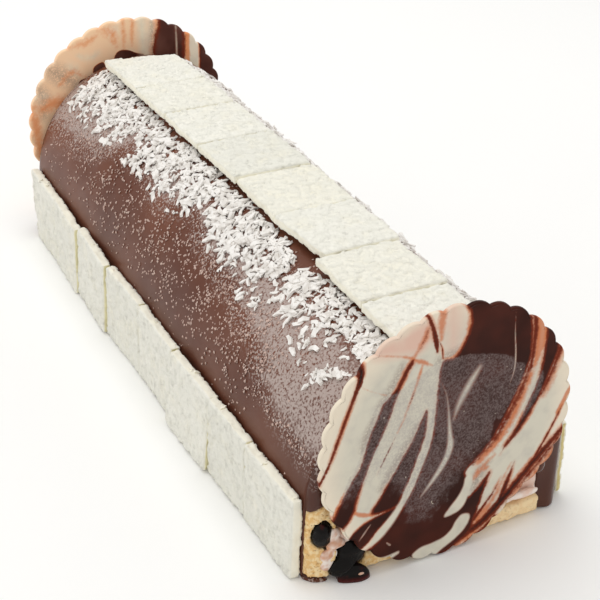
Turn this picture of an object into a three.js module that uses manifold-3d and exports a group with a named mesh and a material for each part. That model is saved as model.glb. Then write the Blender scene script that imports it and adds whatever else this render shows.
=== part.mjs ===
// A chocolate log cake: a cream-filled sponge in a chocolate coat, with white chocolate tiles along
// its sides and crest, grated coconut beside the crest, and a marbled plaque at each end.
// Millimetres, Z up. The log lies along Y, its shown end faces -Y, and it stands on z = 0.

import * as THREE from "three";
import { mergeVertices } from "three/addons/utils/BufferGeometryUtils.js";
import Module from "manifold-3d";

const wasm = await Module();
wasm.setup();

// Driving dimensions of the log
const LOG_LENGTH = 249;
const HALF_WIDTH = 46.7;
const SIDE_HEIGHT = 25.5; // straight lower part of the sides
const CROWN_RISE = 47.6; // rounded top above the straight sides
const GAP = 0.3; // clearance between pieces that touch
const FLOOR_STEPS = 8;
const CROWN_STEPS = 12;

// Driving dimensions of the coat, which leaves the lower part of each end face bare
const COAT_WALL = 1.5;
const COAT_BASE = 1.6;
const LIP = 3; // how far the coat stands out over the end faces
const LIP_ROUND = 3;
const LIP_LINE = 29; // lower edge of the coat on the end faces
const DRIP_EDGE = 38.6; // inner side of the thick drip at one corner of each end
const DRIP_NECK = 20; // height where the drip is thinnest
const DRIP_WAIST = 0.4; // how much thinner the drip is there
const DRIP_BULGE = 2; // how far the drip swells below and above its neck
const DRIP_SHOULDER = 10; // width of the fillet between the drip and the lip
const LIP_ARCH = 2; // rise of the lip's lower edge in the middle
const LIP_FALL = 14; // drop of that edge at the corner away from the drip
const FOOT_EDGE = -38; // inner end of the thin chocolate foot at the other corner
const FOOT_HEIGHT = 1.3;

// Driving dimensions of the filling
const SPONGE_SIDE = 7;
const SPONGE_BASE = 5;
const SPONGE_BULGE = 6.4;
const CREAM_BULGE = 6.6;
const BULGE_TOP = 75; // the ends no longer swell at this height
const BULGE_EDGE = 0.55; // share of the bulge that is left at the sides
const BULGE_POWER = 30; // a higher power keeps the rim of an end face squarer
const END_RINGS = [1, 0.98, 0.94, 0.8, 0.4]; // steps in from the rim of an end face to its middle
const CHERRY_RADIUS = 4.8;

// A strand of cherries: where it runs through the log, and the lumps that it ends in
const UPPER_CHERRY = {
  x: -38.8,
  z: 15.6,
  lumps: [
    { center: [-41.6, -2.2, 17.4], radii: [3.7, 3.2, 5.4] },
    { center: [-38.6, -1.8, 13.2], radii: [3.4, 2.8, 3.2] },
  ],
};
const LOWER_CHERRY = {
  x: -28.8,
  z: 9.4,
  lumps: [
    { center: [-31.6, -2.8, 7.6], radii: [5.4, 3.9, 6] },
    { center: [-35.2, -4.4, 4], radii: [5, 3.6, 3.9] },
  ],
};
const FAR_LUMP = [5.2, 4, 5.2];

// Driving dimensions of the white tiles
const TILE_THICKNESS = 3.9;
const THIN_TILES = { right_tile_1: 2.6 };
const TILE_HEIGHT = 29.6;
const STRIP_THICKNESS = 3.4;
const STRIP_WIDTH = 31;
const TILE_EDGE_ROUND = 0.5;
const TILE_EDGE_STEP = 8;
const TILE_EDGE_WANDER = 0.35;
const TILE_JOINT = 1.1;

// Where the side tiles meet, from the shown end to the far end, and how each tile stands: the
// stand-off of its two ends at the foot, and how far its head leans back towards the log.
// A chip gives a tile's broken corner, as [corner, depth along the row, depth in height].
const LEFT_JOINTS = [0, 33.5, 60.5, 92.5, 125, 156.8, 189.7, 217.5, 248.5];
const LEFT_STAND = [
  [0, 0.2], [0.3, 1], [2.5, 3.1], [0.6, 0.2],
  [0.3, 0.8], [2.3, 0.7], [1.9, 0.5], [0.5, 0.3],
];
const LEFT_LEAN = [0, 0.3, 2.2, 0.3, 0.6, 0.8, 0.3, 0.4];
const LEFT_CHIPS = { 8: [0, 5.5, 0] };
const RIGHT_JOINTS = [0.3, 31, 64, 97, 131.5, 160, 196, 222.5, 248.8];
const RIGHT_STAND = [
  [1.75, 1.6], [1.9, 2.6], [0.8, 0.3], [2.5, 3.1],
  [0.9, 0.5], [1.3, 2], [2.4, 2.9], [0.9, 0.2],
];
const RIGHT_LEAN = [1.8, 1.6, 0.3, 2.2, 0.4, 1, 2, 0.4];
const RIGHT_CHIPS = { 4: [3, 2, 1.5] };

// The strip along the crest: how far the two ends of each tile are lifted, how far it is shifted
// across and turned, and its broken corners, as [corner, depth across, depth along].
const STRIP_JOINTS = [4, 26.2, 56.5, 88, 119, 150.5, 181, 208.5, 242];
const STRIP_LIFT = [
  [0.3, 0], [0.5, 0.1], [0.8, 0.3], [0.2, 0],
  [0.8, 0.2], [0.4, 0.1], [0.6, 0.2], [0.4, 0],
];
const STRIP_SHIFT = [0, 0.2, 1.1, 0.9, 0.4, -0.6, -1.3, -1.8];
const STRIP_TURN = [0, 0.006, 0.02, -0.01, 0.015, 0, 0.012, 0.02];
const STRIP_CHIPS = { 3: [0, 2.6, 0], 8: [2, 1, 4.5] };

// Driving dimensions of the plaques
const PLAQUE_RADIUS = 44.6;
const PLAQUE_THICKNESS = 1.8;
const PLAQUE_DISH = 0.5;
const PLAQUE_INNER = 0.55; // share of the radius of the ring between the middle and the rim
const SCALLOPS = 34;
const SCALLOP_DEPTH = 1.3;
const SCALLOP_POINTS = 5;
const SCALLOP_FULLNESS = 0.8;

// Where the front plaque's rim is flattened, as [angle in degrees, depth], and how wide a flat is
const FRONT_FLATS = [[-49, 3.9], [-147, 0.8]];
const FLAT_SPREAD = 18;

// Driving dimensions of the coconut flakes
const FLAKES_PER_SIDE = 62;
const FLAKE_LENGTH = [3.2, 6.4];
const FLAKE_WIDTH = [1.4, 2.3];
const FLAKE_HEIGHT = [1.0, 1.5];
const FLAKE_TAPER = 0.45;
const FLAKE_SINK = 0.35;
const FLAKE_MARGIN = 8; // bare length at each end of the log
const GOLDEN_STEP = 0.618034; // spreads the flakes evenly along the log
const BAND_START = THREE.MathUtils.degToRad(23); // angle from the crest
const BAND_SPREAD = THREE.MathUtils.degToRad(24);
const BAND_FADE = 1.6;

const BEYOND = 20; // how far a cutting shape runs past what it cuts

const COLOURS = {
  chocolate: [0x4a2a20, 0.32],
  sponge: [0xdcb878, 0.9],
  cream: [0xf1e3da, 0.55],
  cherry: [0x1d0d0f, 0.12],
  tile: [0xf1eee0, 0.7],
  plaque: [0x8a5a48, 0.25],
};

// A repeatable stream of numbers from 0 to 1
function randomStream(seed) {
  let state = seed;
  return () => {
    state = (state + 0x6d2b79f5) | 0;
    let mixed = Math.imul(state ^ (state >>> 15), 1 | state);
    mixed = (mixed + Math.imul(mixed ^ (mixed >>> 7), 61 | mixed)) ^ mixed;
    return ((mixed ^ (mixed >>> 14)) >>> 0) / 2 ** 32;
  };
}

function between(range, draw) {
  return range[0] + (range[1] - range[0]) * draw;
}

function indexedGeometry(points, triangles) {
  const geometry = new THREE.BufferGeometry();
  geometry.setAttribute("position", new THREE.Float32BufferAttribute(points, 3));
  geometry.setIndex(triangles);
  geometry.computeVertexNormals();
  return geometry;
}

function toSolid(geometry) {
  const bare = geometry.clone();
  bare.deleteAttribute("normal");
  bare.deleteAttribute("uv");
  const merged = mergeVertices(bare, 1e-4);
  return new wasm.Manifold(
    new wasm.Mesh({
      numProp: 3,
      vertProperties: new Float32Array(merged.attributes.position.array),
      triVerts: new Uint32Array(merged.index.array),
    }),
  );
}

// The main body of a solid, without loose scraps that a cut leaves
function toGeometry(solid) {
  const body = solid.decompose().reduce((best, next) => (next.volume() > best.volume() ? next : best));
  const mesh = body.getMesh();
  return indexedGeometry(Array.from(mesh.vertProperties), Array.from(mesh.triVerts));
}

function named(name, geometry, finish) {
  const [color, roughness] = COLOURS[finish];
  const mesh = new THREE.Mesh(geometry, new THREE.MeshStandardMaterial({ color, roughness, metalness: 0 }));
  mesh.name = name;
  return mesh;
}

// The log's cross-section, drawn in from its outer skin by an inset and standing on a floor height
function tunnel(inset, floor) {
  const half = HALF_WIDTH - inset;
  const shape = new THREE.Shape();
  shape.moveTo(-half, floor);
  for (let k = 1; k <= FLOOR_STEPS; k += 1) {
    shape.lineTo(half * ((2 * k) / FLOOR_STEPS - 1), floor);
  }
  shape.lineTo(half, SIDE_HEIGHT);
  shape.absellipse(0, SIDE_HEIGHT, half, CROWN_RISE - inset, 0, Math.PI, false, 0);
  return shape;
}

// A cross-section carried along Y, with its two ends rounded over where a round is given
function along(shape, start, end, round = 0, depth = 0) {
  const geometry = new THREE.ExtrudeGeometry(shape, {
    depth: end - start - 2 * depth,
    curveSegments: CROWN_STEPS,
    bevelEnabled: round > 0,
    bevelThickness: depth,
    bevelSize: round,
    bevelOffset: -round,
    bevelSegments: 2,
  });
  geometry.rotateX(Math.PI / 2);
  geometry.translate(0, end - depth, 0);
  return toSolid(geometry);
}

// How far a soft end face swells out at a place, on a ring that is a share of the full outline
function endBulge(bulge, share, x, z) {
  const rounding = Math.sqrt(1 - share ** BULGE_POWER);
  const middle = BULGE_EDGE + (1 - BULGE_EDGE) * (1 - (x / HALF_WIDTH) ** 4);
  return bulge * rounding * middle * Math.max(0, 1 - z / BULGE_TOP);
}

// The soft inside of the log, whose two ends swell out most low down in the middle
function softLog(inset, floor, bulge) {
  const outline = tunnel(inset, floor).getPoints(CROWN_STEPS);
  const count = outline.length;
  const points = [];
  const triangles = [];
  const addRing = (share, far) => {
    outline.forEach((corner) => {
      const x = corner.x * share;
      const z = SIDE_HEIGHT + (corner.y - SIDE_HEIGHT) * share;
      const out = endBulge(bulge, share, x, z);
      points.push(x, far ? LOG_LENGTH + out : -out, z);
    });
  };
  END_RINGS.toReversed().forEach((share) => addRing(share, false));
  END_RINGS.forEach((share) => addRing(share, true));
  const rings = 2 * END_RINGS.length;
  const centerOut = endBulge(bulge, 0, 0, SIDE_HEIGHT);
  const near = rings * count;
  const far = near + 1;
  points.push(0, -centerOut, SIDE_HEIGHT, 0, LOG_LENGTH + centerOut, SIDE_HEIGHT);
  for (let k = 0; k < count; k += 1) {
    const next = (k + 1) % count;
    const last = (rings - 1) * count;
    triangles.push(near, k, next, far, last + next, last + k);
    for (let ring = 0; ring < rings - 1; ring += 1) {
      const here = ring * count;
      const there = here + count;
      triangles.push(here + k, there + k, there + next, here + k, there + next, here + next);
    }
  }
  return toSolid(indexedGeometry(points, triangles));
}

// The part of an end face that the coat leaves bare: below the lip, beside the drip, above the foot
function openingShape(inset) {
  const outside = HALF_WIDTH + BEYOND;
  const drip = DRIP_EDGE - inset;
  const lip = LIP_LINE - inset;
  const shape = new THREE.Shape();
  shape.moveTo(-outside, FOOT_HEIGHT + inset);
  shape.lineTo(FOOT_EDGE + inset, FOOT_HEIGHT + inset);
  shape.lineTo(FOOT_EDGE + inset, -BEYOND);
  shape.lineTo(drip, -BEYOND);
  shape.quadraticCurveTo(drip - DRIP_BULGE, DRIP_NECK / 2, drip + DRIP_WAIST, DRIP_NECK);
  shape.quadraticCurveTo(drip - DRIP_BULGE, lip, drip - DRIP_SHOULDER, lip - LIP_ARCH / 2);
  shape.lineTo(0, lip + LIP_ARCH);
  shape.lineTo(-HALF_WIDTH / 2, lip + LIP_ARCH / 2);
  shape.quadraticCurveTo(LIP_ARCH - HALF_WIDTH, lip + LIP_ARCH, -outside, lip - LIP_FALL);
  return shape;
}

// The same opening at either end; the far end has it turned about, with its drip at the other corner
function opening(inset, reach) {
  const front = along(openingShape(inset), -BEYOND, reach);
  const back = front.rotate([0, 0, 180]).translate([0, LOG_LENGTH, 0]);
  return front.add(back);
}

// Coat
function bareCoat() {
  const outer = along(tunnel(0, 0), -LIP, LOG_LENGTH + LIP, LIP_ROUND, LIP);
  const hollow = along(tunnel(COAT_WALL, COAT_BASE), 0, LOG_LENGTH);
  return outer.subtract(hollow).subtract(opening(0, 0));
}

// One flake: a bent bar with a square section that tapers to both ends
function flakeGeometry(length, width, height, bend) {
  const geometry = new THREE.BoxGeometry(length, width, height, 2, 1, 1);
  const place = geometry.attributes.position;
  for (let i = 0; i < place.count; i += 1) {
    const end = place.getX(i) / (length / 2);
    const taper = 1 - FLAKE_TAPER * end * end;
    place.setY(i, place.getY(i) * taper + bend * end * end);
  }
  return geometry;
}

// A point of the coat's crown at an angle from the crest, with its outward direction
function crownFrame(angle, y) {
  const z = SIDE_HEIGHT + CROWN_RISE * Math.cos(angle);
  const point = new THREE.Vector3(HALF_WIDTH * Math.sin(angle), y, z);
  const out = new THREE.Vector3(Math.sin(angle) / HALF_WIDTH, 0, Math.cos(angle) / CROWN_RISE);
  return { point, out: out.normalize() };
}

// Coconut lies thickest beside the crest and thins out down the slope
function flakes(side, seed) {
  const draw = randomStream(seed);
  const sizes = Array.from({ length: FLAKES_PER_SIDE }, () => draw()).sort((a, b) => b - a);
  return sizes.map((size, i) => {
    const y = FLAKE_MARGIN + ((i * GOLDEN_STEP) % 1) * (LOG_LENGTH - 2 * FLAKE_MARGIN);
    const angle = side * (BAND_START + BAND_SPREAD * draw() ** BAND_FADE);
    const { point, out } = crownFrame(angle, y);
    const height = between(FLAKE_HEIGHT, draw());
    const width = between(FLAKE_WIDTH, draw());
    const geometry = flakeGeometry(between(FLAKE_LENGTH, size), width, height, draw() - 0.5);
    const tangent = new THREE.Vector3(0, 1, 0);
    const across = new THREE.Vector3().crossVectors(out, tangent);
    const matrix = new THREE.Matrix4().makeBasis(tangent, across, out);
    matrix.multiply(new THREE.Matrix4().makeRotationZ(Math.PI * draw()));
    matrix.setPosition(point.addScaledVector(out, height / 2 - FLAKE_SINK));
    return toSolid(geometry.applyMatrix4(matrix));
  });
}

function coat() {
  const solid = wasm.Manifold.union([bareCoat(), ...flakes(-1, 11), ...flakes(1, 29)]);
  return named("chocolate_coat", toGeometry(solid), "chocolate");
}

// The space inside the coat, out through the bare part of each end
function inside() {
  const bore = tunnel(COAT_WALL + GAP, COAT_BASE + GAP);
  const hollow = along(bore, GAP, LOG_LENGTH - GAP);
  const passage = along(bore, -BEYOND, LOG_LENGTH + BEYOND).intersect(opening(GAP, 1));
  const ends = along(tunnel(GAP, GAP), -BEYOND, LOG_LENGTH + BEYOND).intersect(opening(GAP, -GAP));
  return wasm.Manifold.union([hollow, passage, ends]);
}

// Cherries
function ellipsoid(center, radii, grow) {
  const geometry = new THREE.SphereGeometry(1, 12, 7);
  geometry.scale(radii[0] + grow, radii[1] + grow, radii[2] + grow);
  geometry.translate(center[0], center[1], center[2]);
  return toSolid(geometry);
}

// A strand of cherries runs through the log and swells where it is squeezed out of either end
function cherryStrand(strand, grow) {
  const radius = CHERRY_RADIUS + grow;
  const run = new THREE.CylinderGeometry(radius, radius, LOG_LENGTH, 12);
  run.translate(strand.x, LOG_LENGTH / 2, strand.z);
  const front = strand.lumps.map(({ center, radii }) => ellipsoid(center, radii, grow));
  const back = ellipsoid([strand.x, LOG_LENGTH, strand.z], FAR_LUMP, grow);
  return wasm.Manifold.union([toSolid(run), ...front, back]);
}

// Filling
function filling() {
  const space = inside();
  const upperCut = cherryStrand(UPPER_CHERRY, GAP);
  const lowerCut = cherryStrand(LOWER_CHERRY, GAP);
  const coreInset = COAT_WALL + GAP + SPONGE_SIDE;
  const coreFloor = COAT_BASE + GAP + SPONGE_BASE;
  const bore = along(tunnel(coreInset, coreFloor), -BEYOND, LOG_LENGTH + BEYOND);
  const block = softLog(GAP, GAP, SPONGE_BULGE);
  const core = softLog(coreInset + GAP, coreFloor + GAP, CREAM_BULGE);
  const sponge = block.intersect(space).subtract(bore).subtract(upperCut).subtract(lowerCut);
  const cream = core.intersect(space).subtract(upperCut).subtract(lowerCut);
  const upper = cherryStrand(UPPER_CHERRY, 0).intersect(space);
  const lower = cherryStrand(LOWER_CHERRY, 0).intersect(space).subtract(upperCut);
  return [
    named("sponge", toGeometry(sponge), "sponge"),
    named("cream_filling", toGeometry(cream), "cream"),
    named("cherry_strand_upper", toGeometry(upper), "cherry"),
    named("cherry_strand_lower", toGeometry(lower), "cherry"),
  ];
}

// White tiles: a slab whose broken edges wander, lying in its own XY plane from z = 0 upwards.
// A chip draws one corner in towards the middle of the slab.
function slab(width, height, thickness, draw, chip) {
  const corners = [[0, 0], [width, 0], [width, height], [0, height]];
  if (chip) {
    const [corner, inX, inY] = chip;
    corners[corner][0] += Math.sign(width / 2 - corners[corner][0]) * inX;
    corners[corner][1] += Math.sign(height / 2 - corners[corner][1]) * inY;
  }
  const wander = () => (2 * draw() - 1) * TILE_EDGE_WANDER;
  const outline = corners.flatMap(([x0, y0], i) => {
    const [x1, y1] = corners[(i + 1) % corners.length];
    const count = Math.max(2, Math.round(Math.hypot(x1 - x0, y1 - y0) / TILE_EDGE_STEP));
    return Array.from({ length: count }, (_, k) => {
      const share = k / count;
      return new THREE.Vector2(x0 + (x1 - x0) * share + wander(), y0 + (y1 - y0) * share + wander());
    });
  });
  const geometry = new THREE.ExtrudeGeometry(new THREE.Shape(outline), {
    depth: thickness - 2 * TILE_EDGE_ROUND,
    bevelThickness: TILE_EDGE_ROUND,
    bevelSize: TILE_EDGE_ROUND,
    bevelOffset: -TILE_EDGE_ROUND,
    bevelSegments: 1,
  });
  geometry.translate(0, 0, TILE_EDGE_ROUND);
  return geometry;
}

// Sets a mesh by two of its directions and the place of its own origin
function setFrame(mesh, xAxis, yAxis, origin) {
  const zAxis = new THREE.Vector3().crossVectors(xAxis, yAxis).normalize();
  const square = new THREE.Vector3().crossVectors(zAxis, xAxis);
  mesh.quaternion.setFromRotationMatrix(new THREE.Matrix4().makeBasis(xAxis, square, zAxis));
  mesh.position.copy(origin);
}

function standOnGround(mesh) {
  mesh.updateMatrixWorld(true);
  mesh.position.z -= new THREE.Box3().setFromObject(mesh, true).min.z;
}

// A row of tiles against one side: -1 is the left side as the shown end is faced, 1 the right
function sideRow(prefix, side, joints, stands, leans, chips, seed) {
  const draw = randomStream(seed);
  const face = HALF_WIDTH + GAP;
  return stands.map((stand, i) => {
    const near = new THREE.Vector3(side * (face + stand[0]), joints[i] + TILE_JOINT / 2, 0);
    const far = new THREE.Vector3(side * (face + stand[1]), joints[i + 1] - TILE_JOINT / 2, 0);
    const [first, last] = side > 0 ? [near, far] : [far, near];
    const run = new THREE.Vector3().subVectors(last, first);
    const name = `${prefix}_tile_${i + 1}`;
    const thickness = THIN_TILES[name] ?? TILE_THICKNESS;
    const geometry = slab(run.length(), TILE_HEIGHT, thickness, draw, chips[i + 1]);
    const mesh = named(name, geometry, "tile");
    const rise = new THREE.Vector3(-side * leans[i], 0, TILE_HEIGHT).normalize();
    setFrame(mesh, run.normalize(), rise, first);
    standOnGround(mesh);
    return mesh;
  });
}

// The strip of tiles that lies flat along the crest
function crestStrip(seed) {
  const draw = randomStream(seed);
  const crest = SIDE_HEIGHT + CROWN_RISE + GAP;
  return STRIP_LIFT.map((lift, i) => {
    const number = i + 1;
    const start = STRIP_JOINTS[i] + TILE_JOINT / 2;
    const length = STRIP_JOINTS[number] - STRIP_JOINTS[i] - TILE_JOINT;
    const geometry = slab(STRIP_WIDTH, length, STRIP_THICKNESS, draw, STRIP_CHIPS[number]);
    const mesh = named(`top_tile_${number}`, geometry, "tile");
    const turn = STRIP_TURN[i];
    const across = new THREE.Vector3(Math.cos(turn), Math.sin(turn), 0);
    const forward = new THREE.Vector3(-Math.sin(turn), Math.cos(turn), (lift[1] - lift[0]) / length);
    const origin = new THREE.Vector3(STRIP_SHIFT[i], start, crest + lift[0]);
    setFrame(mesh, across, forward, origin.addScaledVector(across, -STRIP_WIDTH / 2));
    return mesh;
  });
}

// How far the flats draw a plaque's rim in, at an angle in radians
function flattening(flats, turn) {
  return flats.reduce((sum, [angle, depth]) => {
    const away = THREE.MathUtils.euclideanModulo(THREE.MathUtils.radToDeg(turn) - angle + 180, 360) - 180;
    return sum + depth * Math.exp(-((away / FLAT_SPREAD) ** 2));
  }, 0);
}

// Plaques: a scalloped disc, a little dished, lying in its own XY plane with its shown face at +Z
function plaqueGeometry(flats) {
  const around = SCALLOPS * SCALLOP_POINTS;
  const points = [];
  const triangles = [];
  const faceHeight = (share) => -PLAQUE_DISH * (1 - share * share);
  [0, -PLAQUE_THICKNESS].forEach((level) => {
    [PLAQUE_INNER, 1].forEach((share) => {
      for (let k = 0; k < around; k += 1) {
        const turn = (2 * Math.PI * k) / around;
        const lobe = Math.abs(Math.sin((SCALLOPS * turn) / 2)) ** SCALLOP_FULLNESS;
        const drawnIn = SCALLOP_DEPTH * (1 - lobe) + flattening(flats, turn);
        const radius = share * PLAQUE_RADIUS - (share === 1 ? drawnIn : 0);
        points.push(radius * Math.cos(turn), radius * Math.sin(turn), faceHeight(share) + level);
      }
    });
  });
  const frontCenter = 4 * around;
  const backCenter = frontCenter + 1;
  points.push(0, 0, faceHeight(0), 0, 0, faceHeight(0) - PLAQUE_THICKNESS);
  const [inner, outer, innerBack, outerBack] = [0, 1, 2, 3].map((ring) => ring * around);
  const quad = (a, b, c, d) => triangles.push(a, b, c, a, c, d);
  for (let k = 0; k < around; k += 1) {
    const next = (k + 1) % around;
    triangles.push(frontCenter, inner + k, inner + next);
    quad(inner + k, outer + k, outer + next, inner + next);
    quad(outer + k, outerBack + k, outerBack + next, outer + next);
    quad(outerBack + k, innerBack + k, innerBack + next, outerBack + next);
    triangles.push(backCenter, innerBack + next, innerBack + k);
  }
  return indexedGeometry(points, triangles);
}

// A plaque stands on its rim, its top leaning along +Y; shown is -1 where its shown face looks to -Y
function plaque(name, x, faceY, leanDegrees, shown, flats) {
  const lean = THREE.MathUtils.degToRad(leanDegrees);
  const mesh = named(name, plaqueGeometry(flats), "plaque");
  const xAxis = new THREE.Vector3(-shown, 0, 0);
  const rise = new THREE.Vector3(0, Math.sin(lean), Math.cos(lean));
  setFrame(mesh, xAxis, rise, new THREE.Vector3(x, faceY, PLAQUE_RADIUS));
  standOnGround(mesh);
  return mesh;
}

const FRONT_PLAQUE_Y = -6.9;
const BACK_PLAQUE_Y = LOG_LENGTH + 6.9;

const log = new THREE.Group();
log.add(
  coat(),
  ...filling(),
  ...sideRow("left", -1, LEFT_JOINTS, LEFT_STAND, LEFT_LEAN, LEFT_CHIPS, 3),
  ...sideRow("right", 1, RIGHT_JOINTS, RIGHT_STAND, RIGHT_LEAN, RIGHT_CHIPS, 5),
  ...crestStrip(7),
  plaque("front_plaque", -1.5, FRONT_PLAQUE_Y, 3, -1, FRONT_FLATS),
  plaque("back_plaque", -3.6, BACK_PLAQUE_Y, -2.2, 1, []),
);

// The origin is on the ground at the middle of the footprint
log.updateMatrixWorld(true);
const footprint = new THREE.Box3().setFromObject(log, true);
log.position.x = -(footprint.min.x + footprint.max.x) / 2;
log.position.y = -(footprint.min.y + footprint.max.y) / 2;

const part = new THREE.Group();
part.add(log);

export default part;
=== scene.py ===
"""Dresses the log cake: its coat, coconut, white tiles, filling and marbled plaques.

Lengths are in millimetres in the log's own frame: x = 0 is the middle of the log, y = 0 the plane of
its shown end and z = 0 the ground. A mesh is turned into metres in the part's frame when it is made.
"""

import logging
import math
from collections.abc import Callable, Sequence
from dataclasses import dataclass, field
from enum import Enum
from typing import Any

import bmesh
import bpy
import numpy as np
from mathutils import Matrix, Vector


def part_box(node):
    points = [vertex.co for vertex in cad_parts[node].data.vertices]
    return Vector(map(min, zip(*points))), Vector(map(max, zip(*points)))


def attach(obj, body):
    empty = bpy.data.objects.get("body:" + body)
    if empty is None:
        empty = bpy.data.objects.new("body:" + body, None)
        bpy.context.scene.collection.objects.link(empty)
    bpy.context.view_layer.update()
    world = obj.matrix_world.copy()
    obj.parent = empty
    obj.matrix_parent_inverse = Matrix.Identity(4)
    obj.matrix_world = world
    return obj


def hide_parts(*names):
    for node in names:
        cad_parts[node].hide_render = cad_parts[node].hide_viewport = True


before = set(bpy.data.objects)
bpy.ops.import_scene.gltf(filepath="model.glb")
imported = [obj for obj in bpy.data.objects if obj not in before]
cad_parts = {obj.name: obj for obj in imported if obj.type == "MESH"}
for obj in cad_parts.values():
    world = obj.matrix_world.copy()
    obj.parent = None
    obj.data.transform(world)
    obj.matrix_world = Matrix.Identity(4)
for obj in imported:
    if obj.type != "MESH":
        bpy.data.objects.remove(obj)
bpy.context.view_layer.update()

MM = 0.001
BODY = "root"
WELD_DISTANCE = 1e-6
log = logging.getLogger("log_cake")

Array = np.ndarray
Mesh = bpy.types.Mesh
Material = bpy.types.Material
Colour = tuple[float, float, float, float]
Span = tuple[float, float]
Path = tuple[tuple[float, ...], ...]
Values = dict[str, Any]
Inputs = dict[str | int, Any]
Cover = Callable[[Array, Array], Array]


class Slot(Enum):
    """The material slots."""

    CHOCOLATE = "chocolate"
    SPONGE = "sponge"
    CREAM = "cream"
    CHERRY = "cherry"
    TILE = "white_tile"
    PLAQUE = "plaque"


class Tone(Enum):
    """What a stroke of the marbling is poured in."""

    DARK = "dark chocolate"
    PALE = "white chocolate over dark"
    AMBER = "thin dark chocolate that the white shines through"
    HAZE = "dark chocolate seen through white"
    BLUSH = "a peach tint in the white"
    BLOOM = "a grainy grey bloom over everything"
    CLEAR = "where the bloom thins out"


class End(Enum):
    """The log's two ends, by the way along the log that they face."""

    FRONT = -1
    BACK = 1


class Side(Enum):
    """The log's two slopes, by the way across the log that they face."""

    LEFT = -1
    RIGHT = 1


class Draw(Enum):
    """The seeds of the random draws that a scattered piece gets."""

    PILE = 3
    TILT = 5
    SPIN = 7
    KIND = 11
    SCALE = 13


def srgb(red: float, green: float, blue: float) -> Colour:
    """Turns a colour as a screen shows it into a shader's linear colour.

    Args:
        red: The red part, 0 to 255.
        green: The green part.
        blue: The blue part.

    Returns:
        The linear colour.
    """
    shares = (np.array([red, green, blue]) / 255.0).tolist()
    linear = [part / 12.92 if part <= 0.04045 else ((part + 0.055) / 1.055) ** 2.4 for part in shares]
    return (linear[0], linear[1], linear[2], 1.0)


class Term:
    """A node's output socket, whose arithmetic adds Math nodes to its tree."""

    def __init__(self, nodes: "Nodes", socket: bpy.types.NodeSocket) -> None:
        """Keeps the socket and the tree that it belongs to."""
        self.nodes = nodes
        self.socket = socket

    def _math(self, operation: str, *values: "Term | float") -> "Term":
        """Adds one Math node on the given values."""
        return self.nodes.term("ShaderNodeMath", {"operation": operation}, dict(enumerate(values)))

    def __add__(self, other: "Term | float") -> "Term":
        """Adds two values."""
        return self._math("ADD", self, other)

    __radd__ = __add__

    def __sub__(self, other: "Term | float") -> "Term":
        """Takes the other value away."""
        return self._math("SUBTRACT", self, other)

    def __rsub__(self, other: float) -> "Term":
        """Takes this value away from a number."""
        return self._math("SUBTRACT", other, self)

    def __mul__(self, other: "Term | float") -> "Term":
        """Multiplies two values."""
        return self._math("MULTIPLY", self, other)

    __rmul__ = __mul__

    def __rtruediv__(self, other: float) -> "Term":
        """Divides a number by this value."""
        return self._math("DIVIDE", other, self)

    def most(self, other: "Term | float") -> "Term":
        """Gives the larger of two values."""
        return self._math("MAXIMUM", self, other)

    def ease(self, start: float, end: float) -> "Term":
        """Runs smoothly from 0 at one value to 1 at another."""
        settings = {"interpolation_type": "SMOOTHSTEP"}
        return self.nodes.term("ShaderNodeMapRange", settings, {0: self, 1: start, 2: end})


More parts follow.
